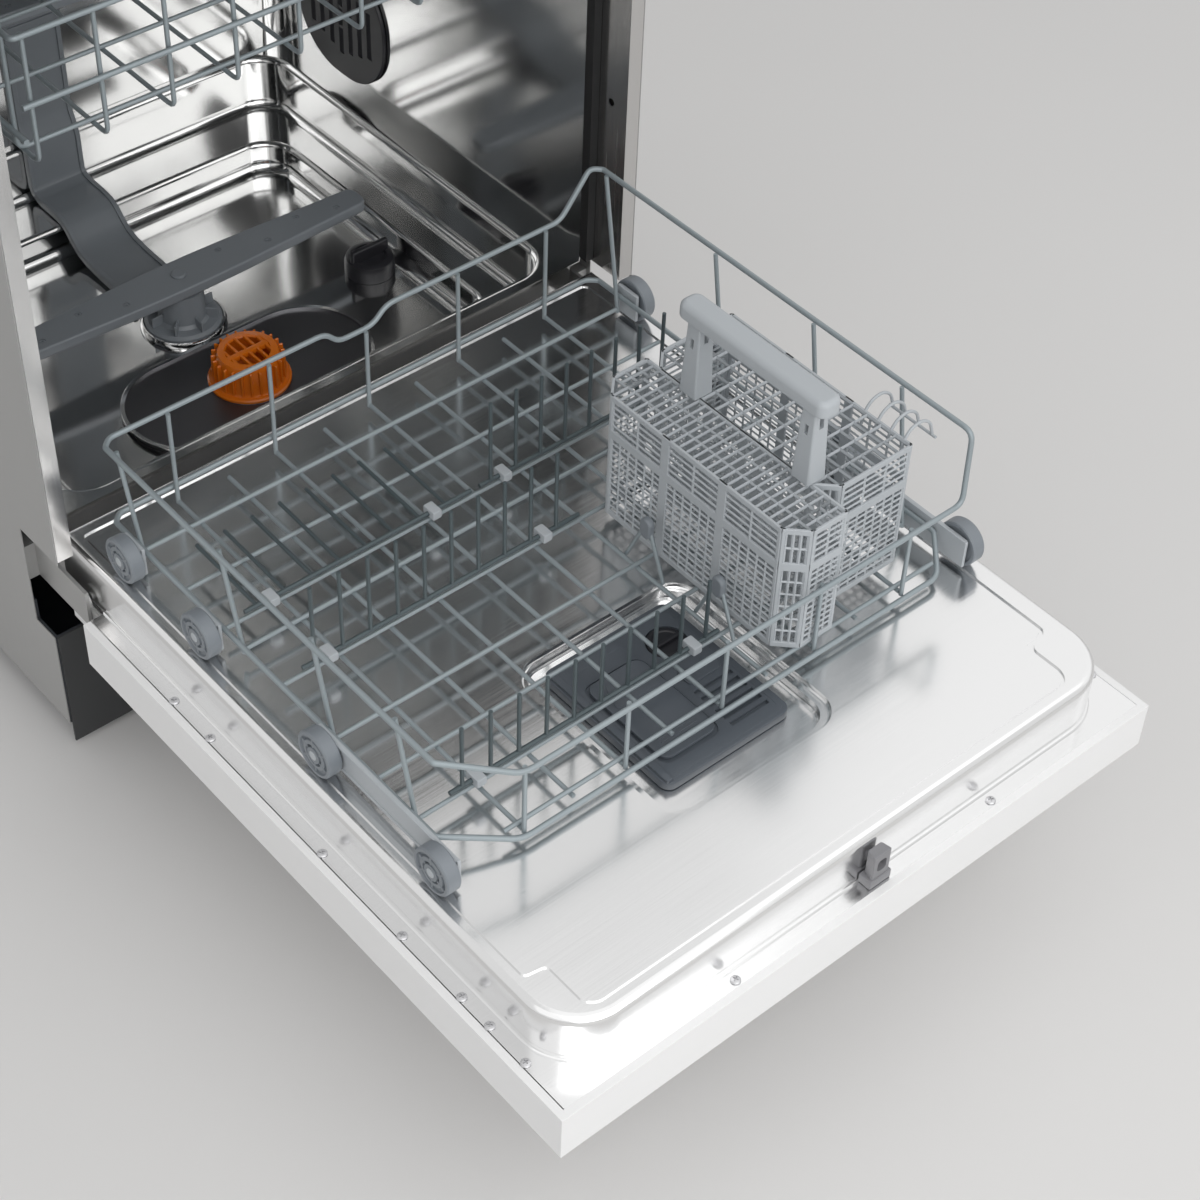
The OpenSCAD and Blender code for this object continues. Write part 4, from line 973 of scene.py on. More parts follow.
@dataclass
class LowerRack:
    """The lower rack: round coated wires, mouldings, wheels and fold-down tine rows."""

    half: float = 249.0
    front: float = -420.0
    back: float = 26.0
    wire: float = 4.6
    thin: float = 3.8
    tine: float = 3.4
    floor: float = 251.4
    cross: float = 255.25
    pitch: float = 47.5
    cross_offsets: tuple[float, ...] = (57, 105, 155, 222, 270, 297, 350, 407)
    upright_offsets: tuple[float, ...] = (57, 155, 270, 407)
    hoop_x: float = 51.15
    hoop_rise: float = 42.0
    hoop_offsets: Flat = (68.0, 150.0)
    mid: float = 265.0
    rim: float = 343.0
    front_rim: float = 320.0
    right_rim: float = 383.0
    kink: float = 14.0
    chamfer: float = 54.0
    axle: float = 261.65
    wheel_z: float = 260.0
    wheel_offsets: tuple[float, ...] = (10.0, 148.0, 300.0, 404.0)
    tine_pitch: float = 26.0
    clips: tuple[Flat, ...] = (
        (27, 297), (183, 297), (-201, 297), (-45, 297), (-201, 222), (7, 222), (-191, 57), (17, 57),
    )

    def build(self) -> None:
        """Builds every piece of the rack."""
        self.floor_wires()
        self.side_wires()
        self.end_wires()
        self.carriers()
        self.hoop_tips()
        for number, offset in enumerate(self.wheel_offsets, 1):
            self.wheels(number, self.front + offset)
        self.rows()

    def floor_wires(self) -> None:
        """The floor grid and the two hoops beside the basket."""
        f, z, end, x, top = self.front, self.floor, self.half - 6.2, self.hoop_x, self.floor + self.hoop_rise
        along = [[(i * self.pitch, f + 6.2, z), (i * self.pitch, self.back - 6.2, z)] for i in range(-4, 5)]
        spans = [(-204, 229.9, 10)] + [(-end, end, y) for y in self.cross_offsets]
        across = [[(x0, f + y, self.cross), (x1, f + y, self.cross)] for x0, x1, y in spans]
        hoops = [
            [(x, f + y - 22, z), (x, f + y - 4, top), (x, f + y + 4, top), (x, f + y + 22, z)]
            for y in self.hoop_offsets
        ]
        piece = Bench.join(Bench.wires(along + across, self.thin), Bench.wires(hoops, self.tine, 6))
        Bench.done(piece, "rack_floor_wires", "lower_rack", WIRE, ["rack_floor"], 60)

    def side_wires(self) -> None:
        """Rims and middle wires with leaning uprights, left and right."""
        heavy, light = [], []
        for side, top in ((-1, self.rim), (1, self.right_rim)):
            x, inner = side * self.half, side * (self.half - 4.25)
            heavy += [[(x, self.front + 34, z), (x, self.back - 12, z)] for z in (top, self.mid)]
            feet = [self.front + y for y in self.upright_offsets]
            light += [[(inner, y, self.floor), (inner, y + 22, top)] for y in feet]
        piece = Bench.join(Bench.wires(heavy, self.wire), Bench.wires(light, self.thin, 4))
        Bench.done(piece, "rack_side_wires", "lower_rack", WIRE, ["rack_sides"], 60)

    def end_wires(self) -> None:
        """Front and rear rims with their steps, and the end uprights."""
        h, f, b, low = self.half, self.front, self.back, self.floor - 2
        left, mid, right, dip, cut = self.rim, self.mid, self.right_rim, self.rim - self.kink, self.chamfer
        front_rim = [
            (-h, f + 34, left), (-h, f + 30, left), (cut - h, f, self.front_rim), (h - 8, f, self.front_rim),
            (h, f + 8, right), (h, f + 34, right),
        ]
        front_mid = [
            (-h, f + 34, mid), (-h, f + 30, mid), (cut - h, f, low), (h - 22, f, low),
            (h, f + 28, mid), (h, f + 34, mid),
        ]
        rear_rim = [
            (-h, b - 12, left), (-h, b - 8, left), (8 - h, b, left), (-37, b, left), (-25, b, dip),
            (10, b, dip), (24, b, left), (h - 40, b, left), (h - 8, b, right), (h, b - 8, right),
            (h, b - 12, right),
        ]
        rear_mid = [
            (-h, b - 12, mid), (-h, b - 8, mid), (8 - h, b, mid), (h - 8, b, mid),
            (h, b - 8, mid), (h, b - 12, mid),
        ]
        uprights = []
        for i in range(-4, 5, 2):
            x, foot = i * self.pitch, self.floor - 1.8
            uprights.append([(x, f + 4.25, self.front_rim), (x, f + 4.25, foot)])
            uprights.append([(x, b - 4.25, left if i else dip), (x, b - 4.25, foot)])
        rims = Bench.wires([front_rim, front_mid, rear_rim, rear_mid], self.wire, 9)
        piece = Bench.join(rims, Bench.wires(uprights, self.thin, 4))
        Bench.done(piece, "rack_end_wires", "lower_rack", WIRE, ["rack_ends"], 60)

    def carriers(self) -> None:
        """Wheel carriers with ribs and axles on both sides, and the clips of the tine rows."""
        f, axle = self.front, self.axle
        stub = [(0, 0), (8, 0), (8, 3.4), (6.5, 3.8), (4, 3.8), (4, 17), (3.2, 17.5), (0, 17.5)]
        first, second, *others = self.wheel_offsets
        left = []
        for offsets in ((first, second), *((offset,) for offset in others)):
            y0, y1 = f + offsets[0] - 13, f + offsets[-1] + 13
            left.append(Bench.block((251.7, y0, 246), (255.2, y1, 273), 1.2))
            left.append(Bench.block((254.6, y0 + 2, 270), (256, y1 - 2, 272.6), 0.5))
            left += [Bench.turned(stub, (252.3, f + y, self.wheel_z), "X", 24) for y in offsets]
            if len(offsets) > 1:
                left.append(Bench.block((254.8, y0 + 24, 249), (256, y1 - 24, 251.5), 0.5))
        carriers = Bench.join(*left)
        clip = Bench.block((-4.5, -7, axle - 4.15), (4.5, 7, axle + 4.3), 1.4)
        Bench.cut(clip, Bench.drum(2.05, 0, 20, (-10, 0, axle), "X", 20))
        clips = Bench.copies(clip, [Bench.shift(x, f + y) for x, y in self.clips])
        piece = Bench.join(carriers, Bench.mirrored(carriers), *clips)
        Bench.done(piece, "rack_clips", "lower_rack", RACK, ["rack_mouldings"])

    def hoop_tips(self) -> None:
        """The oval plastic tips of the hoops."""
        tip = Bench.soften(Bench.plate((0, 0), (20, 12), 5.9, -3.2, 3.2), 2.2, 3)
        upright = Matrix.Rotation(math.pi / 2, 4, "Y")
        tips = Bench.copies(tip, [Bench.shift(self.hoop_x, self.front + y, 295.5) @ upright for y in self.hoop_offsets])
        Bench.done(Bench.join(*tips), "hoop_tips", "lower_rack", WHEEL)

    def wheels(self, number: int, y: float) -> None:
        """A left and a right wheel on one axle line, with a rim ring and six spokes.

        Args:
            number: The pair's number, from the front.
            y: The axle's place.
        """
        profile = [
            (4.06, 0), (8, 0), (8.6, 1.6), (15.5, 1.6), (16.4, 0.4), (19, 0.4), (19.7, 1.4), (19.7, 11.4),
            (18.8, 12.6), (16.6, 12.8), (16, 11), (13.2, 10.2), (12.6, 12), (9.4, 12.4), (8.8, 10.4), (7.4, 10.2),
            (7, 12.8), (4.06, 12.8), (4.06, 0),
        ]
        wheel = Bench.turned(profile, (256.2, y, self.wheel_z), "X")
        spoke = Bench.block((266.2, -0.9, 7.5), (268.6, 0.9, 15.5), 0.3, 1)
        right = Bench.join(wheel, *Bench.around(spoke, 6, (0, y, self.wheel_z), "X", number))
        pair = Bench.join(right, Bench.mirrored(right))
        Bench.done(pair, f"rack_wheels_{number}", f"wheel_pair_{number}", WHEEL, [f"wheels_{number}"])

    def rows(self) -> None:
        """The four fold-down rows: an axle and round-tipped tines."""
        rows = (
            ("rear_right_row", "tines_rear_right", 2, 214, 297, 82, 0),
            ("rear_left_row", "tines_rear_left", -226, -6, 297, 82, -88),
            ("middle_row", "tines_middle", -226, 44, 222, 78, 0),
            ("front_row", "tines_front", -216, 44, 57, 62, 0),
        )
        for body, node, x0, x1, offset, height, angle in rows:
            y = self.front + offset
            rise = Matrix.Rotation(math.radians(angle), 3, "X") @ Vector((0, 0, height - 1))
            count = int((x1 - x0 - 16) // self.tine_pitch) + 1
            feet = [Vector((x0 + 12 + i * self.tine_pitch, y, self.axle)) for i in range(count)]
            tines = Bench.soften(Bench.wires([[foot, foot + rise] for foot in feet], self.tine), 0.8, 2, 60)
            axle = Bench.wires([[(x0 + 0.5, y, self.axle), (x1 - 0.5, y, self.axle)]], 4)
            Bench.done(Bench.join(tines, axle), f"{node}_wires", body, TINE, [node], 60)


@dataclass
class Basket:
    """The cutlery basket: lattice walls, window bands, top grid and a handle on two posts."""

    x0: float = 66.15
    split: float = 116.15
    x1: float = 206.15
    y0: float = -412.0
    y1: float = -190.0
    step: float = 22.0
    z0: float = 257.45
    height: float = 122.0
    cut: float = 16.0
    wall: float = 2.0
    pitches: Flat = (7.6, 15.2)
    handle_rise: float = 70.0
    bar: Flat = (22.0, 14.0)

    def build(self) -> None:
        """Builds the basket, its handle and the curved fingers beside it."""
        parts = self.section(self.x0, self.split, self.y0, self.pitches[0])
        parts += self.section(self.split + 0.3, self.x1, self.y0 + self.step, self.pitches[1])
        Bench.done(Bench.join(*parts), "cutlery_basket_lattice", "basket", RACK, ["cutlery_basket"])
        self.handle()
        self.fingers()

    def fingers(self) -> None:
        """The curved fingers along the right wall, and the rail that they end on."""
        near, top = self.y0 + self.step, self.z0 + self.height
        curve = ((204, -12), (205, -3), (212, 7), (224, 9), (234, 2), (239, -14))
        paths = [[(x, near + y, top + z) for x, z in curve] for y in (8, 22, 36, 50)]
        x, z = curve[-1]
        paths.append([(x, near + 4, top + z), (x, near + 54, top + z)])
        Bench.done(Bench.wires(paths, 2.6, 6), "basket_fingers", "basket", RACK, (), 60)

    def handle(self) -> None:
        """The handle bar on two tapered posts with keyhole slots."""
        top, x = self.z0 + self.height, self.split + 3
        y0, y1, under = self.y0 + 28, self.y0 + 186, top + self.handle_rise
        bar = Bench.plate((x, (y0 + y1) / 2), (self.bar[0], y1 - y0), 8, under, under + self.bar[1], 6)
        Bench.round_edges(bar, 5, 4, Bench.over(under + self.bar[1] - 1))
        Bench.round_edges(bar, 1.5, 2, Bench.under(under + 1))
        post = Bench.block((x - 7, -7, top + 0.3), (x + 7, 7, under + 2), 0)
        Bench.pick(post, "VERT", lambda v: v.co.z / MM < top + 2)
        bpy.ops.transform.resize(value=(1.35, 1.35, 1))
        bpy.ops.object.mode_set(mode="OBJECT")
        Bench.soften(post, 1.8, 3)
        slot = Bench.plate((x, 0), (4.4, 40), 2, under - 18, under - 6, 5)
        Bench.cut(post, slot, Bench.plate((x, 0), (30, 3.6), 1.7, under - 24, under - 15, 5))
        posts = Bench.copies(post, [Bench.shift(0, y) for y in (y0 + 17, y1 - 17)])
        Bench.done(Bench.join(bar, *posts), "basket_handle_bar", "basket", RACK, ["basket_handle"])

    def section(self, x0: float, x1: float, y0: float, pitch: float) -> list[Piece]:
        """One section of the basket, with two corners cut off on its left.

        Args:
            x0: Left side.
            x1: Right side.
            y0: Near side.
            pitch: Distance between the top grid's cross bars.

        Returns:
            Its walls, floor and top grid.
        """
        c, y1, z, top = self.cut, self.y1, self.z0, self.z0 + self.height
        corners = [(x1, y1), (x0 + c, y1), (x0, y1 - c), (x0, y0 + c), (x0 + c, y0), (x1, y0)]
        parts = []
        for a, b in (*zip(corners, corners[1:]), (corners[-1], corners[0])):
            parts += self.panel(a, b)
        strips = [(x0 + 1, y0 + c, y1 - y0 - 2 * c), (x0 + c, y0 + 1, c - 1), (x0 + c, y1 - c, c - 1)]
        for left, near, length in strips:
            run, size = (x1 - 1 - left, 0, 0), (0, length, 0)
            floor = (max(2, round((x1 - x0) / 9)), max(2, round(length / 9)))
            grid = (max(2, round((x1 - x0) / 15)), max(1, round(length / pitch)))
            parts.append(Bench.lattice((left, near, z + 1.2), run, size, floor, 2.4, 2.2))
            parts.append(Bench.lattice((left, near, top - 2.2), run, size, grid, 1.9, 4))
        return parts

    def panel(self, a: Flat, b: Flat) -> list[Piece]:
        """One wall panel between two corners.

        Args:
            a: Its first corner.
            b: Its second corner.

        Returns:
            Bands, posts, rows of small slots below and of long slots above.
        """
        z, h, t = self.z0, self.height, self.wall
        start, run = Vector((*a, 0)), Vector((b[0] - a[0], b[1] - a[1], 0))
        length = run.length
        corner = length < 30
        count = max(1, round(length / 62))
        place = Matrix.Translation(start * MM) @ Matrix.Rotation(math.atan2(run.y, run.x), 4, "Z")
        bars = [(0, length, low, high, t + 0.3) for low, high in ((z, z + 5), (z + 80, z + 88), (z + h - 5, z + h))]
        for i in range(count + 1):
            u, half = i * length / count, 4.5 if 0 < i < count else 2.6
            bars.append((max(0, u - half), min(length, u + half), z, z + h, t + 0.2))
        parts = []
        for left, right, low, high, depth in bars:
            bar = Bench.block((left, -depth / 2, low), (right, depth / 2, high), 0.4, 1)
            bar.data.transform(place)
            parts.append(bar)
        wide = length / count - 6
        along = tuple(run / length * wide)
        low_cells = (3, 6) if corner else (max(2, round(wide / (9.5 if wide > 40 else 6.6))), 13)
        high_cells = (3, 2) if corner else (max(2, round(wide / 24)), 5)
        for i in range(count):
            x, y, _ = start + run / length * (i * length / count + 3)
            parts.append(Bench.lattice((x, y, z + 4), along, (0, 0, 77), low_cells, 2.3, 1.8))
            parts.append(Bench.lattice((x, y, z + 87), along, (0, 0, h - 91), high_cells, 2.6, 1.8))
        return parts


@dataclass
class Tub:
    """The steel tub with its stepped pan."""

    half: float = 275.0
    front: float = 75.0
    back: float = 539.0
    ledge: float = 240.0
    shelf: float = 185.0
    ceiling: float = 795.0
    shelf_middle: float = 309.5
    shelf_size: Flat = (502.0, 441.0)
    basin_middle: float = 298.0
    basin_size: Flat = (430.0, 350.0)
    corner: float = 34.0
    wall_corner: float = 24.0
    ceiling_radius: float = 16.0
    tail_y: float = 88.2
    flange_x: float = 286.6
    flange_half: float = 11.0
    flange_top: float = 813.0

    def build(self) -> None:
        """Builds the tub: walls and ceiling over the pan, with the flanges round its mouth."""
        x, w, y, high = self.flange_x, self.flange_half, self.front, self.flange_top
        flanges = [Bench.block((s * x - w, y, self.ledge + 3), (s * x + w, y + SHEET, high), 0) for s in SIDES]
        over = Bench.block((-297, y, self.ceiling), (297, y + SHEET, high), 0)
        piece = Bench.join(self.walls(), self.pan(), *flanges, over)
        Bench.done(piece, "tub_sheet", "cabinet", TUB_STEEL, ["tub_shell"], 30)

    def walls(self) -> Piece:
        """The walls and the ceiling: a round-cornered box, opened below and in front, with a sheet's thickness.

        Returns:
            The sheet.
        """
        spare = 80
        centre, size = (0, (self.front - spare + self.back) / 2), (2 * self.half, self.back - self.front + spare)
        walls = Bench.plate(centre, size, self.wall_corner, self.ledge, self.ceiling, only=lambda x, y: y > 0)
        Bench.round_edges(
            walls, self.ceiling_radius, 5, lambda a, b: min(a.z, b.z) > self.ceiling - 1 and max(a.y, b.y) >= self.front
        )
        Bench.pick(walls, "FACE", lambda f: f.center.z < (self.ledge + 0.5) * MM or f.normal.y < -0.9)
        bpy.ops.mesh.delete(type="FACE")
        bpy.ops.mesh.select_all(action="SELECT")
        bpy.ops.mesh.bisect(plane_co=(0, self.front * MM, 0), plane_no=(0, 1, 0), clear_inner=True, use_fill=False)
        bpy.ops.mesh.select_all(action="SELECT")
        bpy.ops.mesh.flip_normals()
        bpy.ops.object.mode_set(mode="OBJECT")
        return Bench.modify(walls, "SOLIDIFY", thickness=SHEET * MM, offset=-1)

    def pan(self) -> Piece:
        """The pan with two rounded steps, the filter's hole and the room for the door's tail.

        Returns:
            The pan.
        """
        side, ledge, high = self.half + SHEET, self.ledge, self.ledge + 20
        pan = Bench.block((-side, self.front, BASIN - SHEET), (side, self.back + SHEET, ledge), 0)
        shelf = Bench.plate((0, self.shelf_middle), self.shelf_size, self.corner, self.shelf, high, 12)
        Bench.round_edges(shelf, 9, 4, Bench.under(ledge))
        basin = Bench.plate((0, self.basin_middle), self.basin_size, self.corner, BASIN, high, 12)
        Bench.round_edges(basin, 12, 5, Bench.under(ledge))
        hole = Bench.drum(39, 0, 40, (0, FILTER_Y, BASIN - 20))
        tail_room = Bench.block((-300, self.front - 1, 150), (300, self.tail_y, ledge - SHEET), 0)
        Bench.cut(pan, shelf, basin, hole, tail_room)
        Bench.round_edges(pan, 6, 4, self.lip(ledge, self.shelf_middle, self.shelf_size))
        Bench.round_edges(pan, 5, 3, self.lip(self.shelf, self.basin_middle, self.basin_size))
        return pan

    @staticmethod
    def lip(level: float, middle: float, size: Flat) -> Callable[[Vector, Vector], bool]:
        """A test for round_edges: an edge lies on the lip of a step.

        Args:
            level: The lip's height.
            middle: The middle of the opening's depth.
            size: The opening's width and depth.

        Returns:
            The test.
        """
        def on_lip(place: Vector) -> bool:
            """Whether a point lies on the lip, to a millimetre."""
            flat = abs(place.z - level) < 0.2
            return flat and abs(place.x) < size[0] / 2 + 1 and abs(place.y - middle) < size[1] / 2 + 1

        return lambda a, b: on_lip(a) and on_lip(b)


@dataclass
class Water:
    """What sprays, feeds and filters the water in the tub, and the vent on its wall."""

    lower_arm: Flat = (408.0, 198.3)
    upper_arm: Flat = (360.0, 529.5)
    arm_height: float = 12.0
    jets: tuple[Flat, ...] = (
        (-0.88, 6), (-0.72, -6), (-0.5, 7), (-0.3, -8), (0.24, 9), (0.46, -7), (0.66, 6), (0.85, -5),
    )
    duct_half: float = 29.0
    duct_run: tuple[Flat, ...] = (
        (794.5, 535), (272, 535), (262, 534), (250, 529), (238, 526), (215, 526), (202, 525.6), (195, 522.5),
        (191.5, 516), (190, 508), (190, 484), (188.5, 474), (184, 466), (176, 458), (168, 448), (164, 435),
        (162, 415), (161.5, 354.4),
    )
    salt: Flat = (183.0, 272.0)
    vent: Point = (274.7, 428.0, 322.0)

    def build(self) -> None:
        """Builds every piece."""
        Bench.done(self.arm(*self.lower_arm), "lower_arm_blades", "lower_arm", DUCT, ["lower_spray_arm"])
        Bench.done(self.arm(*self.upper_arm), "upper_arm_blades", "upper_arm", DUCT, ["upper_spray_arm"])
        self.hub()
        self.duct()
        self.filter_plate()
        self.filter_cup()
        self.salt_cap()
        self.vent_louvres()

    def arm(self, length: float, z: float) -> Piece:
        """A moulded spray arm with tapered blades, a hole for the hub and nozzles.

        Args:
            length: Its whole length.
            z: Its underside.

        Returns:
            The arm.
        """
        reach, top = length / 2, z + self.arm_height
        sides = [(reach, 8), (reach - 5, 14), (60, 21), (22, 22), (-22, 22), (-60, 21), (5 - reach, 14), (-reach, 8)]
        blade = Bench.prism([(x, -y) for x, y in reversed(sides)] + sides, z, self.arm_height, 3)
        Bench.round_edges(blade, 2.2, 3, Bench.over(top - 0.1))
        Bench.round_edges(blade, 3.5, 3, Bench.under(z + 0.1))
        holes, cups = [Bench.drum(7.06, 0, 40, (0, 0, z - 12))], []
        profile = [(1.1, 0), (3.3, 0), (3.3, 0.7), (2.2, 1.2), (1.1, 1.2), (1.1, 0)]
        for i, (share, y) in enumerate(self.jets):
            x = share * reach
            holes.append(Bench.drum(3.4, 0, 9, (x, y, top - 1.4), steps=16))
            cup = Bench.turned(profile, (x, y, top - 1.5), steps=16)
            slot = Bench.block((-2.6, -0.5, top - 0.8), (2.6, 0.5, top + 0.5), 0)
            slot.data.transform(Bench.shift(x, y) @ Matrix.Rotation(0.5 * i, 4, "Z"))
            cups.append(Bench.cut(cup, slot))
        piece = Bench.join(Bench.cut(blade, *holes), *cups)
        piece.data.transform(Bench.shift(0, HUB_Y))
        return piece

    def hub(self) -> None:
        """The lower arm's hub with its fins, and its bright ring."""
        place = (0, HUB_Y, BASIN)
        profile = [
            (0, 0.3), (36, 0.3), (36, 7), (33, 9.3), (25, 10), (22.5, 13), (21, 38), (22, 42.8), (7, 42.8), (7, 56.6),
            (5.6, 57.6), (0, 57.6),
        ]
        fins = Bench.around(Bench.block((20, -1, 8), (33, 1, 20), 0.5, 1), 8, place)
        Bench.done(Bench.join(Bench.turned(profile, place), *fins), "arm_hub", "cabinet", DUCT, ["spray_hub"])
        ring = [(36.3, 0.3), (40, 0.3), (40, 3.5), (38.6, 5.9), (37.2, 5.9), (36.3, 4.6), (36.3, 0.3)]
        Bench.done(Bench.turned(ring, place, steps=64), "hub_ring_bright", "cabinet", CHROME, ["hub_ring"], 50)

    def duct(self) -> None:
        """The grey feed duct: a channel with raised sides, down the back wall and forward to the hub."""
        half = self.duct_half
        parts = [self.channel(-half, half, -3.5, 3.5)]
        parts += [self.channel(x, x + 5, -5.5, -3) for x in (-half, half - 5)]
        clip = Bench.block((-half - 2.5, 530, 0), (half + 2.5, 538.5, 9), 1.5)
        parts += Bench.copies(clip, [Bench.shift(0, 0, z) for z in range(360, 760, 92)])
        port = Bench.turned([(0, 0), (15, 0), (15, 3), (12, 3), (11, 1.5), (0, 1.5)], (0, 525.7, 547.8), "Y", 32)
        Bench.done(Bench.join(*parts, port), "feed_duct_shell", "cabinet", DUCT, ["feed_duct"])

    def channel(self, left: float, right: float, near: float, far: float) -> Piece:
        """A bar swept along the duct's run, whose points are heights and depths.

        Args:
            left: The bar's left side.
            right: Its right side.
            near: Its visible face, measured from the run.
            far: Its other face.

        Returns:
            The bar.
        """
        edge, run = ([], []), self.duct_run
        for i, (z, y) in enumerate(run):
            before, after = run[max(0, i - 1)], run[min(len(run) - 1, i + 1)]
            along = Vector((after[1] - before[1], after[0] - before[0])).normalized()
            for side, offset in zip(edge, (near, far)):
                side.append((y - along.y * offset, z + along.x * offset))
        piece = Bench.prism(edge[0] + edge[1][::-1], 0, right - left)
        piece.data.transform(Bench.shift(left) @ SIDEWAYS)
        return Bench.soften(piece, 1, 2, 40)

    def filter_plate(self) -> None:
        """The oval micro-mesh plate with its bright rim and collar."""
        place, z = (0, FILTER_Y), BASIN + 0.3
        plate = Bench.plate(place, (246, 126), 62.9, z, z + 4, 20, 0.8)
        Bench.cut(plate, Bench.drum(34.5, 0, 20, (*place, z - 8)))
        Bench.done(plate, "filter_plate_mesh", "cabinet", MESH, ["mesh_filter"], 40)
        rim = Bench.plate(place, (250, 130), 64.9, z + 3.4, z + 6.4, 24, 0.7)
        Bench.cut(rim, Bench.plate(place, (242, 122), 60.9, z - 9, z + 16, 24))
        collar = Bench.turned(
            [(34.6, 3.6), (38, 3.6), (38, 4.2), (36, 4.4), (34.6, 4.4), (34.6, 3.6)], (*place, z), steps=48
        )
        Bench.done(Bench.join(rim, collar), "filter_rim", "cabinet", CHROME)

    def filter_cup(self) -> None:
        """The orange filter cup with its ribs and the bars across its top."""
        y, top = FILTER_Y, BASIN + 4.6
        foot = 64 - top
        profile = [
            (0, foot), (30, foot), (30, 0.2), (38, 0.2), (38, 2), (36.6, 3), (33, 3), (31, 6), (29.5, 27), (27, 31.5),
            (21, 32), (20, 30), (24, 27), (24, 8), (0, 6),
        ]
        parts = [Bench.turned(profile, (0, y, top), steps=48)]
        parts += Bench.around(Bench.block((29, -1.1, 3.5), (33.2, 1.1, 29), 0.6, 1), 24, (0, y, top))
        for x in range(-18, 19, 9):
            half = math.sqrt(21.5**2 - x**2)
            parts.append(Bench.block((x - 1.4, y - half, top + 27.5), (x + 1.4, y + half, top + 31.8)))
        parts.append(Bench.block((-21, y - 3, top + 26), (21, y + 3, top + 31.9), 1.2))
        Bench.done(Bench.join(*parts), "filter_cup_orange", "filter_cup", ORANGE, ["filter_cup"])

    def salt_cap(self) -> None:
        """The ribbed salt cap with its grip."""
        (x, y), z = self.salt, BASIN
        profile = [(0, 0.3), (24, 0.3), (24, 12), (22.5, 16.5), (19, 18.3), (16, 18.3), (15, 16), (0, 16)]
        grip = Bench.block((x - 21, y - 3, z + 14), (x + 21, y + 3, z + 29), 1.8, 3)
        ribs = Bench.around(Bench.block((23.2, -1, 2), (24, 1, 12), 0.3, 1), 16, (x, y, z))
        piece = Bench.join(Bench.turned(profile, (x, y, z)), grip, *ribs)
        Bench.done(piece, "salt_cap_knob", "salt_cap", BLACK, ["salt_cap"])

    def vent_louvres(self) -> None:
        """The oval vent with curved louvres on the right wall."""
        disc = Bench.soften(Bench.plate((0, 0), (130, 138), 61, 0, 4.2, 16), 1.4, 3)
        rows = [(40 - abs(i) * 5, i * 15) for i in range(-3, 4)]
        Bench.cut(disc, *[Bench.block((-half, y - 4.5, 1.4), (half, y + 2.5, 9), 0) for half, y in rows])
        blades = []
        for half, y in rows:
            blade = Bench.block((-half, -4, -0.6), (half, 4, 0.6), 0.4, 1)
            blade.data.transform(Bench.shift(0, y - 1, 2.6) @ Matrix.Rotation(math.radians(18), 4, "X"))
            blades.append(blade)
        ring = Bench.turned([(9, 3.2), (13, 3.2), (12.4, 4.1), (9.6, 4.1), (9, 3.2)], steps=32)
        piece = Bench.join(disc, *blades, ring)
        piece.data.transform(Bench.shift(*self.vent) @ Matrix.Rotation(-math.pi / 2, 4, "Y"))
        Bench.done(piece, "vent_louvres", "cabinet", BLACK, ["vent_grille"])


@dataclass
class UpperRack:
    """The upper rack: round wires, and its feed pipe."""

    half: float = 240.0
    front: float = 86.0
    back: float = 522.0
    floor: float = 556.0
    height: float = 108.0
    rail_z: float = 580.0
    pitch: float = 57.5
    wire: float = 4.6
    thin: float = 3.8

    def build(self) -> None:
        """Builds the rack's wires and its feed pipe."""
        self.wires()
        self.pipe()

    def wires(self) -> None:
        """The wires across and along, the rim and the side wires."""
        h, f, b, z = self.half, self.front, self.back, self.floor
        top, cross, y0, y1, side = z + self.height, z + 3.85, f + 4.25, b - 4.25, h - 4.25
        light = [[(x, y0, top), (x, y0, z), (x, y1, z), (x, y1, top)] for x in (i * self.pitch for i in range(-4, 5))]
        for i in range(6):
            y = f + 24 + i * (b - f - 48) / 5
            light.append([(-side, y, top), (-side, y, cross), (side, y, cross), (side, y, top)])
        rim = [(-h, f + 10, top), (-h, f, top), (h, f, top), (h, b, top), (-h, b, top), (-h, f + 9, top)]
        heavy = [rim, [(1 - h, f, z + 52), (h - 1, f, z + 52)]]
        heavy += [[(s * h, f, self.rail_z), (s * h, b, self.rail_z)] for s in SIDES]
        piece = Bench.join(Bench.wires(light, self.thin, 8), Bench.wires(heavy, self.wire, 8))
        Bench.done(piece, "upper_rack_wires", "upper_rack", WIRE, ["upper_rack"], 60)

    def pipe(self) -> None:
        """The feed pipe under the rack with its clips, and the hub that carries the upper arm."""
        pipe = Bench.block((-14, 300, 541.8), (14, 525.2, 553.8), 3, 4)
        profile = [
            (0, 525.5), (12, 525.5), (12, 529.2), (7, 529.2), (7, 541.8), (18, 541.8), (20, 544), (20, 551.5),
            (17, 553.8), (0, 553.8),
        ]
        hub = Bench.turned(profile, (0, HUB_Y, 0))
        clips = [Bench.block((-17, y, 543), (17, y + 14, 553.5), 1.5) for y in (355, 440)]
        Bench.done(Bench.join(pipe, hub, *clips), "upper_feed_pipe_shell", "upper_rack", DUCT, ["upper_feed_pipe"])


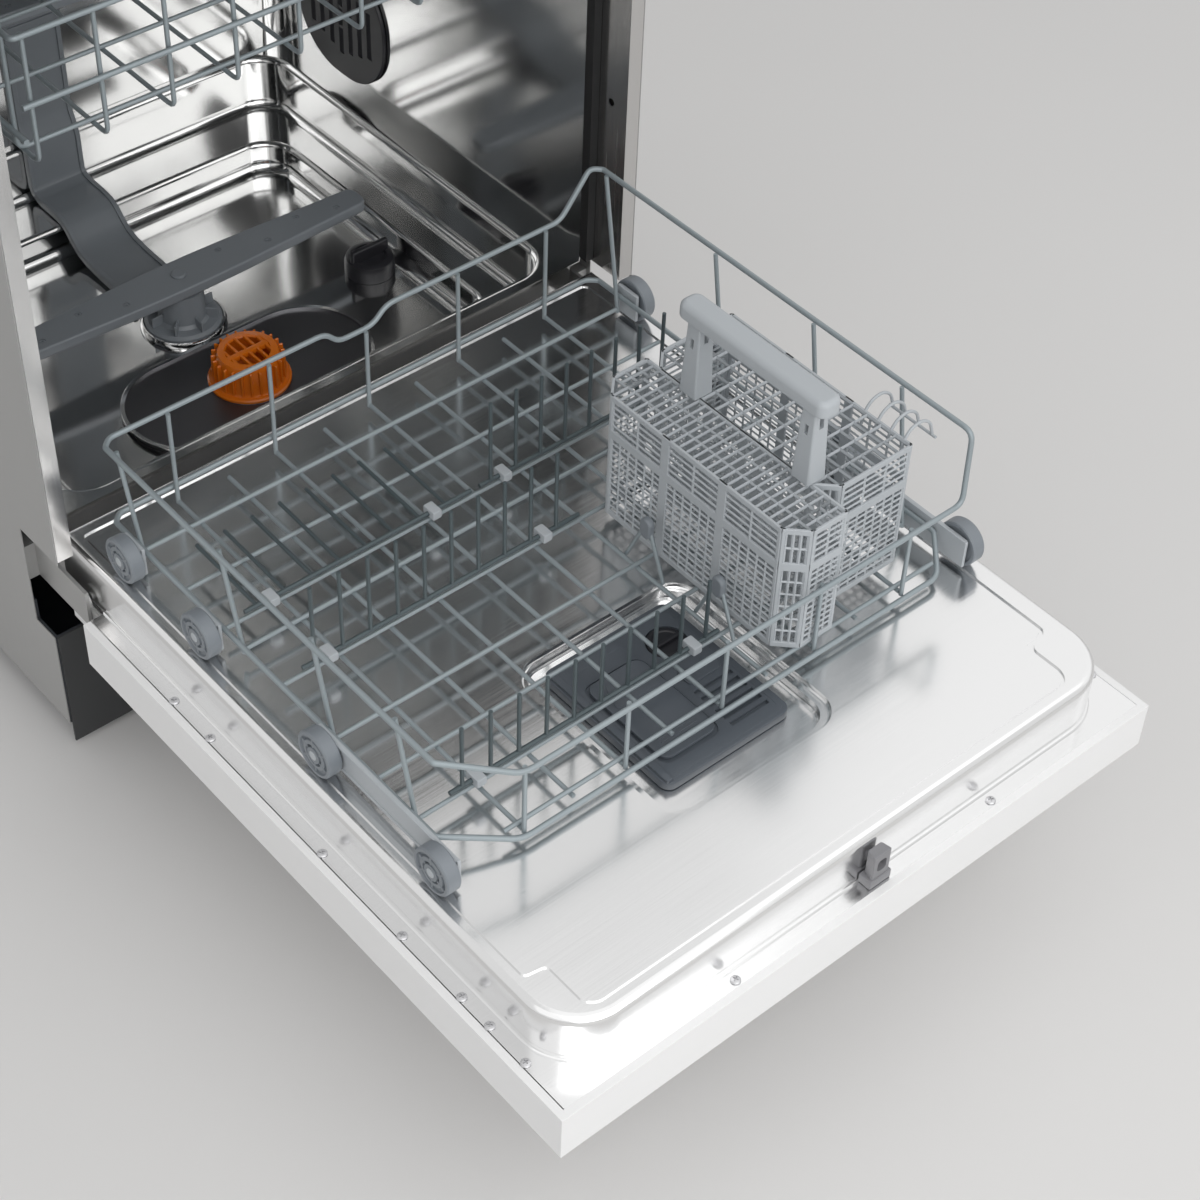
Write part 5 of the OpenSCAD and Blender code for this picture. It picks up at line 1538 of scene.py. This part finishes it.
@dataclass
class Cabinet:
    """The pressed outer panels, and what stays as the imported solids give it, in its own finishes."""

    half: float = 299.0
    front: float = 30.0
    back: float = 560.0
    low: float = 30.0
    high: float = 813.9
    top: float = 815.0
    port_x: float = 200.0
    port_z: float = 92.0
    screw_x: float = 282.0
    screw_levels: tuple[float, ...] = (48, 180, 330, 480, 630, 790)
    top_screws: Flat = (-96, 96)

    FINISHES: ClassVar[dict[Finish, tuple[str, ...]]] = {
        COLUMN: ("front_frame",),
        ZINC: ("upper_rails", "rail_slides", "hinge_brackets", "hinge_arms", "door_springs"),
        RUBBER: ("tub_seal", "door_seal"),
        BASE: ("base_pan", "sump", "circulation_pump", "levelling_feet", "latch_catch"),
        PLINTH: ("plinth_plate",),
        IRON: ("counterweight",),
        PALE: ("drain_pump", "inlet_valve"),
        BLACK: ("power_inlet", "control_strip", "drain_outlet"),
        BUTTON: ("power_button", "start_button"),
        BOARD_GREEN: ("control_board",),
        RACK: ("upper_runners",),
    }

    def build(self) -> None:
        """Builds the panels and gives every carried-over node its finish."""
        self.side_sheets()
        self.back_sheet()
        self.top_sheet()
        self.panel_screws()
        for finish, nodes in self.FINISHES.items():
            for node in nodes:
                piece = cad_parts[node]
                piece.data.materials.clear()
                piece.data.materials.append(finish.material())
                LOG.info("%s dressed in %s", node, finish.name)

    def side_sheets(self) -> None:
        """The side panels, with the room for the plinth and the hinges."""
        side = Bench.block((self.front, self.low, 0), (self.back - 1.1, self.high, SHEET), 0)
        Bench.cut(side, Bench.block((29, 29, -1), (58.3, 142, 2), 0), Bench.block((29, 134, -1), (86, 238, 2), 0))
        self.press(side, [((306, 346), (380, 236), 30), ((306, 626), (380, 268), 30)])
        side.data.transform(Bench.shift(self.half - SHEET) @ SIDEWAYS)
        Bench.done(Bench.join(side, Bench.mirrored(side)), "side_sheets", "cabinet", ZINC, ["side_panels"])

    def back_sheet(self) -> None:
        """The back panel, with the ports of the water and the mains."""
        back = Bench.block((-self.half, self.low, 0), (self.half, self.high, SHEET), 0)
        ports = [Bench.drum(25.2, -1, 3, (s * self.port_x, self.port_z, 0), steps=48) for s in SIDES]
        Bench.cut(back, *ports, Bench.block((219, 70, -1), (254, 98, 3), 0))
        fields = [((s * 134, 468), (236, 560), 26) for s in SIDES]
        self.press(back, fields + [(place, (15, 15), 7.4) for place in self.screw_places()])
        back.data.transform(self.upright())
        Bench.done(back, "back_sheet", "cabinet", ZINC, ["back_panel"])

    def top_sheet(self) -> None:
        """The top panel, with the holes of the worktop's screws."""
        top = Bench.block((-self.half, self.front, 0), (self.half, self.back, SHEET), 0)
        Bench.cut(top, *[Bench.drum(3.5, -1, 3, (x, 50, 0), steps=24) for x in (-200, 200)])
        self.press(top, [((s * 140, 310), (236, 380), 26) for s in SIDES])
        top.data.transform(Bench.shift(0, 0, self.top - SHEET))
        Bench.done(top, "top_sheet", "cabinet", ZINC, ["top_panel"])

    def panel_screws(self) -> None:
        """The screws of the back panel, sunk in its dimples."""
        screw = Bench.screw_head([(0, 0), (4.2, 0), (4.2, SHEET), (3.2, 1.6), (0, 1.9)], 0, (2.4, 0.5), 1)
        turns = [
            self.upright() @ Bench.shift(x, z, -1.6) @ Matrix.Rotation(x * z, 4, "Z") for x, z in self.screw_places()
        ]
        Bench.done(Bench.join(*Bench.copies(screw, turns)), "panel_screws", "cabinet", SCREW)

    def screw_places(self) -> list[Flat]:
        """Where the back panel's screws sit, as X and Z."""
        sides = [(s * self.screw_x, z) for s in SIDES for z in self.screw_levels]
        return sides + [(x, self.screw_levels[-1]) for x in self.top_screws]

    def upright(self) -> Matrix:
        """Stands what is drawn flat against the cabinet's back."""
        return Bench.shift(0, self.back - SHEET) @ Matrix(((-1, 0, 0, 0), (0, 0, 1, 0), (0, 1, 0, 0), (0, 0, 0, 1)))

    @staticmethod
    def press(sheet: Piece, fields: Iterable[tuple[Flat, Flat, float]]) -> None:
        """Sinks rounded fields into a sheet that is drawn flat, with two ribs across each large one.

        Args:
            sheet: The sheet, with its outer face up.
            fields: Centre, size and corner of each field.
        """
        trays = []
        for centre, (width, length), corner in fields:
            Bench.cut(sheet, Bench.plate(centre, (width, length), corner, -1, 2))
            tray = Bench.plate(centre, (width, length), corner, -2.4, SHEET)
            inner = Bench.plate(centre, (width - 3, length - 3), corner - 1.5, -1.6, 2)
            Bench.round_edges(inner, 1.2, 2, Bench.under(0))
            trays.append(Bench.cut(tray, inner))
            if width > 60:
                places = [(centre[0], centre[1] + y) for y in (-50, 50)]
                trays += [Bench.plate(place, (width - 60, 14), 6.9, -1.7, 0.3, 6, 0.6) for place in places]
        Bench.join(sheet, *trays)


@dataclass
class Studio:
    """Pale floor, soft lamps and the photograph's camera."""

    place: Point = (-900.6, -1264.9, 1596.1)
    focal: float = 73.5
    right: Point = (0.76019996, -0.64890541, 0.03190281)
    down: Point = (-0.44311655, -0.55377511, -0.70496868)
    forward: Point = (0.47512497, 0.5217805, -0.70852055)
    target: Point = (0.0, -100.0, 250.0)
    room_light: float = 0.66
    room_seen: float = 0.96

    def build(self) -> None:
        """Builds camera, floor, world and lamps."""
        self.camera()
        self.floor()
        self.world()
        self.lamp("key_lamp", (500, -900, 2900), 3200, 10.0)
        self.lamp("fill_lamp", (-2200, -1200, 2300), 3000, 9.0)
        self.lamp("side_lamp", (2300, -500, 2000), 3000, 6.0)
        self.lamp("front_lamp", (-400, -2300, 1700), 3000, 35.0)
        bpy.context.scene.view_settings.view_transform = "Standard"

    def camera(self) -> None:
        """The camera that the photograph's geometry gives."""
        data = bpy.data.cameras.new("photo_camera")
        data.lens, data.sensor_width, data.clip_start, data.clip_end = self.focal, 36.0, 0.05, 60.0
        camera = bpy.data.objects.new("photo_camera", data)
        bpy.context.scene.collection.objects.link(camera)
        axes = Matrix((self.right, -Vector(self.down), -Vector(self.forward))).transposed()
        camera.matrix_world = Matrix.Translation(Vector(self.place) * MM) @ axes.to_4x4()
        bpy.context.scene.camera = camera

    def floor(self) -> None:
        """A wide pale floor."""
        Bench.clear()
        bpy.ops.mesh.primitive_plane_add(size=30, location=(0, 0, 0))
        floor = bpy.context.object
        floor.name = "studio_floor"
        net = Net("pale_floor")
        grey = net.mix(net.noise(1.5, 2.0), srgb(216, 215, 214), srgb(221, 220, 219))
        net.feed(net.shader.inputs["Base Color"], grey)
        net.shader.inputs["Roughness"].default_value = 0.7
        floor.data.materials.append(net.material)

    def world(self) -> None:
        """A pale room, brighter to the camera and in bright metal than as light."""
        world = bpy.data.worlds.new("pale_room")
        world.use_nodes = True
        bpy.context.scene.world = world
        nodes, links = world.node_tree.nodes, world.node_tree.links
        background = nodes["Background"]
        background.inputs["Color"].default_value = (0.84, 0.84, 0.84, 1)
        ray, seen, strength = (nodes.new(f"ShaderNode{kind}") for kind in ("LightPath", "Math", "MapRange"))
        seen.operation = "MAXIMUM"
        links.new(ray.outputs["Is Camera Ray"], seen.inputs[0])
        links.new(ray.outputs["Is Glossy Ray"], seen.inputs[1])
        links.new(seen.outputs[0], strength.inputs["Value"])
        strength.inputs["To Min"].default_value = self.room_light
        strength.inputs["To Max"].default_value = self.room_seen
        links.new(strength.outputs[0], background.inputs["Strength"])

    def lamp(self, name: str, place: Point, size: float, power: float) -> None:
        """A soft square lamp that faces the middle of the appliance.

        Args:
            name: Its name.
            place: Its place.
            size: Its width.
            power: Its power in watts.
        """
        data = bpy.data.lights.new(name, "AREA")
        data.size, data.energy = size * MM, power
        lamp = bpy.data.objects.new(name, data)
        bpy.context.scene.collection.objects.link(lamp)
        lamp.location = Vector(place) * MM
        lamp.rotation_euler = (Vector(self.target) * MM - lamp.location).to_track_quat("-Z", "Y").to_euler()


def main() -> None:
    """Builds the dishwasher piece by piece."""
    logging.basicConfig(level=logging.INFO, format="%(name)s: %(message)s")
    for part in (Studio(), Cabinet(), Door(), Dispenser(), LowerRack(), Basket(), Tub(), Water(), UpperRack()):
        part.build()


if __name__ == "__main__":
    main()
